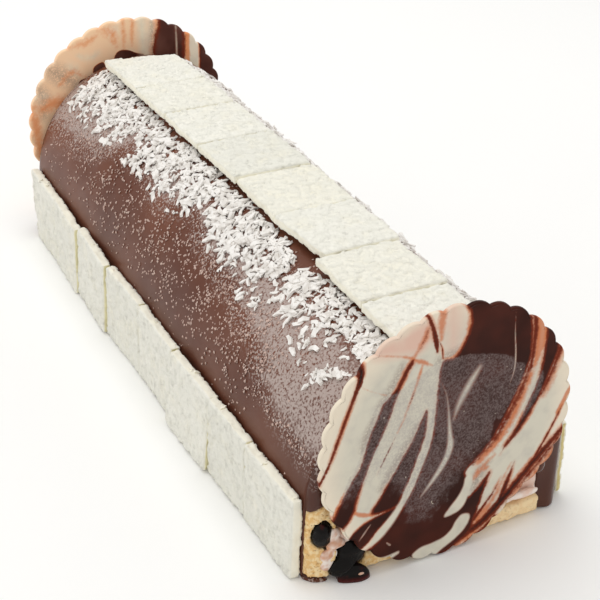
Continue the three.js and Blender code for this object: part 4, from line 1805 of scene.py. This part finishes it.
FRONT_MARBLING = (
    # The dark pour that fills the middle, from the top edge to the foot, and its thin right margin
    Stroke(Tone.DARK, (
        (3.4, 48), (4.8, 41), (5.2, 37.5), (4.2, 33.5), (2.4, 29.5), (0, 27), (-3.8, 26.5), (-4.8, 20),
        (-4.9, 12), (-5.3, 4), (-6.4, -2), (-8, -7), (-9.8, -12), (-12, -17), (-15, -21.5), (-19, -27),
        (-24, -32), (-28, -35), (-25, -41), (-14, -47), (-3, -48), (0, -45), (4, -43), (8, -40.8),
        (10.4, -38.4), (11, -36), (12.3, -32), (13.4, -28), (14.8, -23), (16.2, -18.4), (14.2, -20.4),
        (12.6, -22.4), (10.2, -24.4), (8.4, -25.6), (7.6, -23), (8.2, -19), (6.8, -16.6), (7.4, -15),
        (10.4, -12.4), (14, -9), (17, -5.2), (20, 0), (22.6, 5.4), (24.8, 11), (26.8, 16.5), (27.8, 21),
        (27.6, 28), (26.6, 35), (23.5, 48),
    ), 0.9, True),
    Stroke(Tone.DARK, (
        (27.8, 17, 0.2), (26, 11, 0.3), (23.6, 5, 0.4), (21, 0, 0.3), (17.8, -5.6, 0.1), (14.4, -9.4, -0.1),
        (9.6, -13.4, -0.2),
    ), 2.2),
    Stroke(Tone.DARK, ((27.8, 37, 0.4), (28.6, 29, 0.5), (28.6, 22, 0.5), (28.2, 16, 0.2)), 1.1),
    # Dark streaks on the left, running down and to the left
    Stroke(Tone.DARK, (
        (-14.2, 30.2), (-16.3, 27.6), (-17.6, 25), (-19.2, 21.6), (-21.4, 19.3), (-23.6, 17), (-25.2, 13),
        (-27, 9), (-28.3, 5), (-29.3, 1), (-30.8, -3), (-33.2, -6.5), (-35.3, -10), (-37.4, -14),
        (-39.6, -18.5), (-41, -21), (-38, -23.5), (-35, -21.5), (-33, -18.5), (-31.8, -14.5), (-30.8, -11),
        (-29, -6), (-27.3, -1.5), (-25.2, 3), (-22.8, 8), (-20.7, 13.5), (-19.3, 18), (-17.5, 22.5),
        (-15.5, 26.5), (-14.2, 28.8),
    ), 0.8, True),
    Stroke(Tone.HAZE, ((-17.6, 29.4, 0.3), (-19.2, 25.6, 0.8), (-21.6, 21.6, 0.9), (-24.8, 17.4, 0.5)), 1.7),
    Stroke(Tone.HAZE, ((-26.4, 14, 0.3), (-28.8, 8.4, 0.8), (-30.2, 3.6, 0.4)), 1.5),
    Stroke(Tone.HAZE, ((-11.6, 6.4, 0.4), (-15.4, -0.4, 0.8), (-19.6, -7, 0.9), (-23.2, -12.4, 0.5)), 1.7),
    Stroke(Tone.DARK, (
        (-8.4, 11), (-10.2, 7.5), (-12.2, 2.8), (-15, -2), (-18, -7), (-20.6, -11.3), (-23.2, -15.5),
        (-26.2, -20.4), (-21, -21.3), (-17, -20.2), (-15.8, -17.8), (-14.2, -14), (-12.4, -10), (-10.8, -5),
        (-9.5, -1), (-8.3, 4),
    ), 0.8, True),
    Stroke(Tone.DARK, (
        (-34.5, -28.3), (-30.3, -24.2), (-26, -22.6), (-20.5, -21.4), (-17.4, -21), (-20.5, -24.4),
        (-24, -27.5), (-27, -30.8), (-30, -32.8), (-34, -33),
    ), 0.6, True),
    # White chocolate drawn through the dark
    Stroke(Tone.PALE, (
        (-5.9, 12, 0.3), (-6.3, 5, 0.5), (-7.6, -2, 0.7), (-9.1, -7, 0.7), (-11, -11, 0.8),
        (-13.2, -16, 0.8), (-15.9, -20.5, 0.9), (-19, -25, 1.2), (-23, -29.3, 1.3), (-26, -32, 0.4),
    ), 0.8),
    Stroke(Tone.PALE, (
        (-3.8, 19.5, -0.5), (-1.8, 15, -0.3), (-0.7, 10, -0.1), (-0.1, 5, 0.2), (0.4, 0, 0.5),
        (0.7, -4, 0.9), (-0.3, -8, 0.8), (-2.5, -12, 0.7), (-5.5, -16, 0.4), (-9, -20, -0.2),
    ), 0.9),
    Stroke(Tone.PALE, (
        (9.6, 21.4, 0.1), (7, 17.5, 0.6), (4.7, 13.4, 0.7), (2.8, 9.4, 0.3), (1.4, 5, -0.4),
    ), 1.5),
    Stroke(Tone.PALE, (
        (20.8, 37.5, -0.2), (21.3, 30, 0), (22.1, 23, 0.1), (22.1, 17, 0.1), (20.6, 11, -0.2),
    ), 0.4),
    Stroke(Tone.PALE, (
        (7.2, -18), (9, -16.8), (9.8, -20), (8.6, -24), (7, -28), (4.5, -29.9), (0.2, -30.4), (2, -27.5),
        (5, -24), (6.7, -20.7),
    ), 0.6, True),
    Stroke(Tone.PALE, (
        (-11, -41.4), (-8, -39.6), (-4, -39.2), (0, -38.4), (3, -36.3), (4.5, -33.6), (6.5, -31.7),
        (9.2, -32.3), (9.4, -34.8), (7.4, -38), (4, -40.4), (0, -42.4), (-4, -44.6), (-9, -44.5),
    ), 0.6, True),
    Stroke(Tone.PALE, ((-30.4, -29.4, -0.1), (-28.5, -27, 0.1), (-26.4, -24.4, -0.1)), 0.5),
    Stroke(Tone.PALE, ((-25.5, -38.4, 0.6), (-21, -39.2, 0.9), (-16.5, -38.3, 0.4)), 0.6),
    Stroke(Tone.PALE, ((-20.6, -33.2, 0), (-19.4, -34.4, 0.1)), 0.5),
    Stroke(Tone.AMBER, ((-8, -31.8, -0.2), (-3.5, -32.2, 0), (1, -31.2, 0.1), (7, -31, 0.2)), 0.6),
    Stroke(Tone.DARK, ((3, -32.1, 0), (5.4, -32.6, 0.2), (8.2, -31.4, 0)), 0.3),
    # The dark streak beside the right edge and the band between it and the middle
    Stroke(Tone.DARK, (
        (33.2, 34), (33, 25), (32.6, 18), (31.6, 12), (29.7, 6), (27.6, 1), (25.6, -3), (23.2, -7),
        (21, -10.6), (24.4, -7.4), (28, -2.8), (30.2, 1), (32.4, 5.2), (34.6, 10.5), (36.6, 16), (38, 21),
        (36.8, 28),
    ), 0.9, True),
    Stroke(Tone.DARK, ((39.6, 23, 0.4), (37.6, 17, 0.5), (35.4, 10.6, 0.3), (33, 5.6, 0)), 1.7),
    Stroke(Tone.DARK, ((23.6, -6.4, 0), (21.4, -9.6, 0.1), (19.4, -13, -0.3)), 0.9),
    Stroke(Tone.AMBER, (
        (28.8, 38, 1.4), (30.8, 32, 1.8), (31.2, 26, 1.6), (30.6, 21.5, 0.9), (29.4, 16.6, 0.1),
    ), 1.0),
    Stroke(Tone.AMBER, (
        (28.4, 14, 0), (26.6, 7.4, 0.2), (23.8, 1, 0.4), (20.4, -4.6, 0.6), (16.6, -8.8, 0.8),
        (11.6, -13, 0.8),
    ), 1.6),
    # Thin pours that the white shines through
    Stroke(Tone.DARK, (
        (-31.2, 33, 0.7), (-31.5, 28, 0.8), (-33.7, 22, 0.45), (-36.3, 15, 0.3), (-38.8, 8.5, 0.3),
        (-41.5, 1.5, 0.35), (-45, -5.5, 0.35),
    ), 0.7),
    Stroke(Tone.AMBER, ((-31, 25.4, -0.4), (-27, 22.8, -0.3), (-22.6, 20.4, -0.4)), 0.8),
    Stroke(Tone.AMBER, (
        (-10.8, 27.8, 0), (-11.6, 24.5, 0.2), (-12.8, 20.5, 0), (-14.4, 15.5, -0.1), (-16.2, 10.5, -0.1),
        (-18.2, 6.2, -0.1),
    ), 0.8),
    Stroke(Tone.DARK, ((-12.4, 21.5, -0.3), (-13.8, 17, 0), (-15.2, 13.5, -0.2)), 0.6),
    Stroke(Tone.DARK, ((-18.2, 6.2, -0.25), (-20.4, 2, 0), (-22.4, -2, 0.1), (-24.7, -6.6, -0.2)), 0.55),
    Stroke(Tone.DARK, ((-9.4, 39.6, -0.5), (-10.2, 36.6, -0.1), (-12, 33.2, -0.5), (-13.8, 30.8, -0.8)), 1.3),
    Stroke(Tone.DARK, (
        (-10.4, 44.4, 0.3), (-8.5, 40.5, 0.4), (-7.3, 37, 0.6), (-6.5, 33.5, 0.6), (-6, 30.6, 0.1),
    ), 0.7),
    Stroke(Tone.AMBER, ((-4.6, 45, 0.9), (-5.1, 40, 0.7), (-4.9, 34.5, 0)), 1.3),
    Stroke(Tone.AMBER, ((4, 45, 0.2), (4.8, 41, 0.1), (4.6, 36, 0)), 1.6),
    Stroke(Tone.DARK, ((-5.2, 33.5, 0), (-4.3, 31, 0.15), (-4, 28, 0.1)), 0.35),
    Stroke(Tone.AMBER, (
        (-26, 34.6, -0.3), (-20, 32.8, -0.2), (-16, 31.4, 0), (-13, 29.6, 0.2), (-10, 28, 0.3),
        (-7.4, 26.6, -0.2),
    ), 0.9),
    Stroke(Tone.HAZE, ((-5, 27.6, 0.8), (-1.4, 28.4, 1), (2, 29.4, 0.4)), 2.0),
    Stroke(Tone.AMBER, ((44.5, 6, 0.5), (42.4, 1.6, 0.5), (40, -3.2, 0.3)), 0.7),
    Stroke(Tone.DARK, (
        (42.6, 0.6, -0.2), (40.6, -3.6, 0.1), (38.2, -8.6, 0.2), (35.8, -13.2, 0.25), (33.5, -17.4, 0.35),
        (31.4, -20.8, 0.3),
    ), 0.6),
    Stroke(Tone.DARK, (
        (43.5, -8.6, 0.2), (40.2, -12.2, 0.6), (36.2, -16.4, 0.9), (31.8, -20.7, 1), (27.2, -25.4, 1.1),
        (22.8, -29.8, 1.3), (19.2, -33, 1.4), (15.4, -36.4, 1.2), (10, -39.3, 0.9), (4, -41.9, 0.8),
        (0, -43.5, 0.8),
    ), 1.1),
    Stroke(Tone.DARK, (
        (42.4, -11.2, -0.1), (38.4, -16.6, 0), (34, -21.2, 0), (29.4, -25.8, -0.1), (25, -29.6, -0.3),
    ), 2.2),
    Stroke(Tone.AMBER, ((40.4, -17, 0.2), (35.6, -23, 0.3), (30.4, -28, 0.2)), 1.5),
    Stroke(Tone.AMBER, ((17.4, -35.2, 0.1), (12.6, -38.6, 0.6), (8.6, -41, 0.8), (4.6, -43.2, 0.5)), 0.9),
    Stroke(Tone.DARK, ((19.2, -36.2, 0), (15.4, -39.8, 0.3), (11, -42, 0.1), (7, -43.8, 0.2)), 1.3),
    Stroke(Tone.DARK, ((25.3, -17.4, -0.2), (24.4, -20.5, 0.2), (23.2, -24, 0.6), (20.8, -30.6, 0.9)), 0.8),
    Stroke(Tone.AMBER, (
        (24.2, -17.5, -0.6), (21.6, -22.4, -0.2), (19.4, -27.4, 0), (16.6, -31.4, 0.3), (12.6, -35.6, 0.4),
    ), 1.4),
    Stroke(Tone.DARK, (
        (20.6, -21.6, -0.5), (19, -25, 0), (16.8, -28.4, 0.2), (14, -31.8, 0.35), (11.4, -35.2, 0.5),
    ), 0.8),
    Stroke(Tone.HAZE, ((15.6, -14.6, 0.2), (12.8, -17, 1.4), (11.2, -20.2, 1.6), (9.8, -23, 0.6)), 1.8),
    Stroke(Tone.AMBER, ((17.4, -12.6, -0.6), (13.6, -15.4, 0.1), (11, -18.8, -0.2)), 1.8),
    Stroke(Tone.AMBER, ((-39.4, -17.5, 0.2), (-37.8, -14, 0.2), (-36, -10, 0)), 0.9),
    Stroke(Tone.AMBER, ((-33.4, -17, 0.2), (-30, -19.6, 0.4), (-26, -20.8, 0.4), (-21, -21.2, 0.2)), 0.7),
    # Tints and the bloom, which is crisp above and thins out downward
    Stroke(Tone.BLUSH, (
        (-27, 34), (-25.6, 37.4), (-17, 40), (-9, 42), (-8.5, 35), (-12.5, 32), (-18, 32.6),
    ), 2.2, True),
    Stroke(Tone.BLUSH, ((-1.5, 44, 1.5), (-1, 37, 2.2), (-0.6, 31, 1.2)), 4.0),
    Stroke(Tone.AMBER, ((15.4, -16.4, -0.5), (12, -17, 0), (9.8, -19.6, -0.4)), 2.0),
    Stroke(Tone.BLOOM, (
        (-26, 17.5), (-22, 20.2), (-19.5, 20), (-16, 22), (-10, 25), (-5.5, 27.4), (0, 27.2), (7, 26.4),
        (12, 25.2), (17, 23.6), (21, 22), (22.5, 19.8), (25.4, 18.2), (26.2, 15), (24, 9.4), (21.6, 4.6),
        (18.8, 0), (15.6, -4.6), (10, -60), (-50, -60), (-36, -10), (-33, -4), (-30.4, 3), (-28.2, 10),
    ), 0.6, True),
    Stroke(Tone.BLOOM, ((32.6, 13.5, 0.6), (31, 8, 1.8), (28.6, 2.6, 1.2), (26.6, -1.6, 0.2)), 0.9),
    Stroke(Tone.CLEAR, (
        (60, -2), (30, -4), (22, -5), (16, -6.5), (10, -10), (5, -15), (1, -20), (-3, -26), (-9, -29),
        (-14, -24), (-16, -16), (-20, -11), (-26, -8), (-31, -10), (-36, -13), (-60, -13), (-60, -80),
        (60, -80),
    ), 4.5, True),
)

BACK_MARBLING = (
    Stroke(Tone.BLUSH, ((-48, -48), (-48, 48), (8, 48), (5, 10), (4, -48)), 5.0, True),
    Stroke(Tone.DARK, (
        (15.5, 48), (14.4, 39), (12.4, 32), (12.2, 18), (13, 0), (11, -20), (12, -48), (24, -48),
        (25.5, -20), (26.5, 0), (26.6, 20), (26.4, 34), (25, 48),
    ), 1.8, True),
    Stroke(Tone.DARK, ((34, 48), (34, 20), (34.5, 0), (33, -48), (48, -48), (48, 48)), 0.6, True),
    # Two near-black patches just above the coat's far end: painted shade of the gap between the coat and the
    # plaque.
    Stroke(Tone.DARK, (
        (-22.5, 16), (-21, 20), (-16, 21), (-15, 25), (-11, 26.6), (-10.4, 22), (-16, 18.6),
    ), 0.3, True),
    Stroke(Tone.DARK, (
        (-6, 26.6), (-4.2, 30.3), (0, 30.5), (4, 28.6), (7.4, 27.4), (6, 25.8), (-2, 25.6),
    ), 0.3, True),
    Stroke(Tone.DARK, ((-24, -30, 0.6), (-20, -12, 1.4), (-15, 2, 1.2), (-12, 12, 0.5))),
    Stroke(Tone.DARK, ((-36, -30, 0.5), (-33, -20, 1), (-29, -10, 0.9), (-27, -2, 0.4))),
    Stroke(Tone.PALE, ((22.4, 38, -0.1), (22.8, 30, 0), (23, 12, 0.1), (21.5, -12, 0)), 0.9),
    Stroke(Tone.AMBER, ((27.6, 40, 0.7), (27.9, 26, 0.8), (28.2, 8, 0.6), (27, -20, 0.5)), 0.8),
    Stroke(Tone.AMBER, ((-1.8, 46, -0.8), (-1.5, 38, -0.6), (-1.2, 30, -1.6)), 2.6),
    Stroke(Tone.AMBER, ((2.8, 46, -0.4), (2.5, 38, -0.4), (2.2, 32, -1.2)), 2.2),
    Stroke(Tone.AMBER, ((-12, 42, -1.2), (-6.5, 38.5, -0.4), (-5, 33, -2)), 4.0),
    Stroke(Tone.AMBER, ((-26, 35, -1.6), (-18.5, 36.4, -0.6), (-13, 39, -1.8)), 3.6),
    Stroke(Tone.AMBER, ((-43, 10, -0.4), (-41.5, 0, 0.4), (-40, -16, -0.4)), 3.6),
    Stroke(Tone.AMBER, ((-39, 9, -0.4), (-32, 11.5, 0.6), (-25, 10.5, -0.4)), 4.4),
    Stroke(Tone.AMBER, ((-31, 19, -1.6), (-25, 24, -0.8), (-19, 21, -1.6)), 3.4),
    Stroke(Tone.PALE, ((-22, 31, -0.8), (-17, 29.5, 0), (-13, 31, -0.4)), 4.0),
    Stroke(Tone.PALE, ((6.4, 46, 0.6), (7, 38, 1.4), (7.4, 29, 0.6)), 3.4),
    Stroke(Tone.HAZE, ((-35, 27, 1.2), (-30, 23.5, 2.6), (-24, 19.5, 1.2)), 4.0),
    Stroke(Tone.HAZE, ((-39.5, 18, 0.8), (-37.5, 14, 1.2), (-38, 6, 0.6)), 3.6),
    Stroke(Tone.HAZE, ((11.8, 44, 0.4), (11.4, 36, 0.6), (11, 28, 0.3)), 1.6),
)


@dataclass
class Plaque:
    """A scalloped disc of marbled chocolate that stands on its rim against an end of the log.

    A flat is where the rim is worn, by its angle in degrees and its depth.
    """

    node: str
    end: End
    middle_x: float
    lean: float
    marbling: tuple[Stroke, ...]
    flats: tuple[Span, ...] = ()
    stand_off: float = 6.9
    radius: float = 44.6
    thickness: float = 1.8
    dish: float = 0.5
    scallops: int = 34
    scallop_depth: float = 1.3
    scallop_fullness: float = 0.8
    scallop_points: int = 16
    scallop_fade: int = 6
    flat_spread: float = 18.0
    rings: int = 82
    edge_round: float = 0.5
    edge_steps: int = 4
    pale_start: float = 0.8
    pale_fade: float = 0.15
    unevenness: float = 0.16
    wave_size: float = 24.0
    wave_seed: int = 31
    far_off: float = 9.0

    def build(self, material: Material) -> None:
        """Builds the plaque.

        Args:
            material: The marbled finish.
        """
        mesh, places = self.disc()
        self.marble(mesh, places)
        mesh.shade_smooth()
        settle(f"{self.node}_disc", mesh, material, [self.node])

    def rim(self, turn: Array) -> Array:
        """Gives the rim's radius all round.

        Args:
            turn: The angles in radians.

        Returns:
            The radius at each angle.
        """
        lobe = np.abs(np.sin(self.scallops * turn / 2)) ** self.scallop_fullness
        radius = self.radius - self.scallop_depth * (1 - lobe)
        for angle, depth in self.flats:
            away = (np.degrees(turn) - angle + 180) % 360 - 180
            radius = radius - depth * hump(away, self.flat_spread)
        return radius

    def disc(self) -> tuple[Mesh, Array]:
        """Makes the disc where it stands.

        Returns:
            The mesh, and each vertex's place on the plaque, right and up from its middle.
        """
        around = self.scallops * self.scallop_points
        turn = 2 * math.pi * np.arange(around) / around
        edge = self.rim(turn)
        corner = np.linspace(0, math.pi / 2, self.edge_steps)
        levels = [(share, 0.0, 0.0) for share in np.linspace(0, 1, self.rings + 1)[1:-1]]
        levels += [(1.0, *(self.edge_round * (1 - part(t)) for part in (math.sin, math.cos))) for t in corner]
        rings = []
        for level, sign in ((0.0, 1), (-self.thickness, -1)):
            for share, drawn, sunk in levels[::sign]:
                lobed = share**self.scallop_fade
                radius = share * (self.radius * (1 - lobed) + edge * lobed) - drawn
                flat = np.stack([radius * np.cos(turn), radius * np.sin(turn)], -1)
                face = -self.dish * (1 - share * share) + level - sign * sunk
                rings.append(np.insert(flat, 2, face, axis=1))
        points = np.concatenate(rings + [[[0, 0, -self.dish]], [[0, 0, -self.dish - self.thickness]]])
        points[:, 2] += self.unevenness * ripples(points[:, :2], self.wave_size, self.wave_seed)
        top, foot = len(points) - 2, len(points) - 1
        last = top - around
        faces = bands(len(rings), around)
        for k in range(around):
            after = (k + 1) % around
            faces += [(top, k, after), (foot, last + after, last + k)]
        return self.stood(points, faces)

    def stood(self, points: Array, faces: list[tuple[int, ...]]) -> tuple[Mesh, Array]:
        """Stands the disc on the ground.

        Args:
            points: Its vertices in its own plane, the shown face at the top.
            faces: Its faces.

        Returns:
            The mesh, and each vertex's place on the plaque as it is seen from the shown end of the log.
        """
        lean, facing = math.radians(self.lean), self.end.value
        right = np.array([-float(facing), 0, 0])
        rise = np.array([0, math.sin(lean), math.cos(lean)])
        standing = points @ np.stack([right, rise, np.cross(right, rise)])
        end_y = 0.0 if self.end is End.FRONT else SHAPE.length
        standing += [self.middle_x, end_y + facing * self.stand_off, -standing[:, 2].min()]
        return new_mesh(self.node, standing, faces), points[:, :2] * [-facing, 1]

    def marble(self, mesh: Mesh, places: Array) -> None:
        """Lets the disc carry its marbling, its tints and its paler edge.

        Args:
            mesh: The disc.
            places: Each vertex's place on it.
        """
        layers = {tone: np.full(len(places), self.far_off) for tone in Tone}
        covers = {Tone.PALE: Tone.DARK, Tone.CLEAR: Tone.BLOOM}
        for stroke in self.marbling:
            depth = stroke.depth(places)
            layers[stroke.tone] = np.minimum(layers[stroke.tone], depth)
            if stroke.tone in covers:
                covered = covers[stroke.tone]
                layers[covered] = np.maximum(layers[covered], -depth)
        for tone in (Tone.DARK, Tone.PALE, Tone.AMBER):
            carry(mesh, tone.name, layers[tone])
        for tone in (Tone.HAZE, Tone.BLUSH, Tone.BLOOM):
            carry(mesh, tone.name, np.clip(0.5 - layers[tone] / 2, 0, 1))
        reach = np.linalg.norm(places, axis=1) / self.radius
        carry(mesh, "edge", np.clip((reach - self.pale_start) / self.pale_fade, 0, 1))


@dataclass
class Spill:
    """A thin drop that has run out on the ground in front of an end."""

    name: str
    center: Span
    reach: Span
    height: float
    turn: float
    seed: int
    around: int = 56
    rings: int = 9
    wander: float = 0.12
    wander_size: float = 1.7
    closing: float = 0.97
    lift: float = 0.02

    def build(self, material: Material, slot: Slot) -> None:
        """Builds the drop.

        Args:
            material: Its finish.
            slot: The material slot that it belongs to, which is not used.
        """
        angle = 2 * math.pi * np.arange(self.around) / self.around
        circle = np.stack([np.cos(angle), np.sin(angle)], -1)
        wander = 1 + self.wander * ripples(circle, self.wander_size, self.seed)
        spin = np.array(Matrix.Rotation(math.radians(self.turn), 3, "Z")).T
        rings = []
        for t in np.linspace(0.0, math.pi / 2, self.rings):
            ring = circle * wander[:, None] * math.cos(t * self.closing) * self.reach
            ring = np.insert(ring, 2, self.height * math.sin(t), axis=1)
            rings.append(ring @ spin + [*self.center, self.lift])
        mesh = tube(self.name, rings)
        mesh.shade_smooth()
        settle(self.name, mesh, material)


@dataclass(frozen=True)
class SoftBox:
    """A square soft box that faces the cake. Its lengths are in metres and its power in watts."""

    name: str
    place: tuple[float, float, float]
    size: float
    power: float
    aim: tuple[float, float, float] = (0.0, 0.0, 0.04)

    def hang(self) -> None:
        """Hangs the soft box."""
        light = bpy.data.lights.new(self.name, "AREA")
        light.size = self.size
        light.energy = self.power
        away = np.array(self.place) - np.array(self.aim)
        back = away / np.linalg.norm(away)
        side = np.cross([0.0, 1.0, 0.0], back)
        side /= np.linalg.norm(side)
        placed(self.name, light).matrix_world = turned(side, np.cross(back, side), back, self.place)


@dataclass
class Studio:
    """The camera at the photograph's angle, a pale floor and soft light."""

    eye: tuple[float, float, float] = (-207.91, -295.85, 301.30)
    pitch: float = 30.92
    yaw: float = 28.02
    roll: float = 1.95
    focal_pixels: float = 1439.57
    frame_pixels: float = 600.0
    sensor: float = 36.0
    floor_half: float = 3000.0
    floor_drop: float = 0.2
    room_colour: Colour = (1.0, 0.99, 0.97, 1.0)
    room_strength: float = 0.74
    boxes: tuple[SoftBox, ...] = (
        SoftBox("top_box", (-0.1, 0.25, 1.1), size=1.0, power=5.0),
        SoftBox("left_box", (-1.1, -0.35, 0.7), size=0.8, power=0.4),
    )

    def build(self) -> None:
        """Builds the camera, the floor and the lights."""
        bpy.context.scene.view_settings.view_transform = "Standard"
        self.camera()
        self.floor()
        self.lights()

    def camera(self) -> None:
        """Sets the camera."""
        pitch, yaw, roll = (math.radians(angle) for angle in (self.pitch, self.yaw, self.roll))
        level = np.array([math.sin(yaw), math.cos(yaw), 0.0])
        forward = level * math.cos(pitch) - [0.0, 0.0, math.sin(pitch)]
        right = np.array([math.cos(yaw), -math.sin(yaw), 0.0])
        up = np.cross(right, forward)
        across = math.cos(roll) * right + math.sin(roll) * up
        upward = math.cos(roll) * up - math.sin(roll) * right
        lens = bpy.data.cameras.new("camera")
        lens.sensor_width = self.sensor
        lens.lens = self.focal_pixels / self.frame_pixels * self.sensor
        camera = placed("camera", lens)
        camera.matrix_world = turned(across, upward, -forward, (np.array(self.eye) + SHAPE.origin) * MM)
        bpy.context.scene.camera = camera

    def floor(self) -> None:
        """Lays the floor."""
        half, drop = self.floor_half, -self.floor_drop
        corners = [[-half, -half, drop], [half, -half, drop], [half, half, drop], [-half, half, drop]]
        mesh = new_mesh("floor", np.array(corners), [(0, 1, 2, 3)], closed=False)
        mesh.materials.append(FloorFinish().material())
        ground = placed("floor", mesh)

    def lights(self) -> None:
        """Hangs the soft boxes and sets the room's even light."""
        world = bpy.data.worlds.new("room")
        world.use_nodes = True
        backdrop = world.node_tree.nodes["Background"]
        backdrop.inputs["Color"].default_value = self.room_colour
        backdrop.inputs["Strength"].default_value = self.room_strength
        bpy.context.scene.world = world
        for box in self.boxes:
            box.hang()


def main() -> None:
    """Builds the cake's pieces in order."""
    logging.basicConfig(level=logging.INFO, format="%(name)s: %(message)s")
    Studio().build()
    relief, scatter = Relief(), Scatter()
    coat, filling = ChocolateCoat(), Filling()
    coat.build()
    Coconut().build(scatter)
    WhiteTiles().build(relief, scatter)
    filling.build(relief)
    front = PlaqueFinish("marbled_front", peach=srgb(228, 192, 174))
    flats = ((-49.0, 3.9), (-147.0, 0.8))
    plaque = Plaque("front_plaque", End.FRONT, middle_x=-1.5, lean=3.0, marbling=FRONT_MARBLING, flats=flats)
    plaque.build(front.material())
    # The far plaque's finish is a brighter copy of the near one's: painted light on a face that stands in
    # shade.
    back = PlaqueFinish(
        "marbled_back",
        peach=srgb(255, 216, 178),
        white=srgb(244, 234, 210),
        orange=srgb(236, 146, 88),
        dark=srgb(78, 42, 34),
        brown=srgb(112, 72, 62),
    )
    plaque = Plaque("back_plaque", End.BACK, middle_x=-3.6, lean=-2.2, marbling=BACK_MARBLING)
    plaque.build(back.material())
    foot = Spill("chocolate_foot", center=(-43.6, -2.4), reach=(3.9, 1.5), height=0.8, turn=-30.0, seed=4)
    foot.build(coat.material, Slot.CHOCOLATE)
    juice = Spill("cherry_juice", center=(-32.3, -6.8), reach=(5.7, 2.6), height=5.2, turn=-14.0, seed=6)
    juice.build(filling.cherry, Slot.CHERRY)


if __name__ == "__main__":
    main()
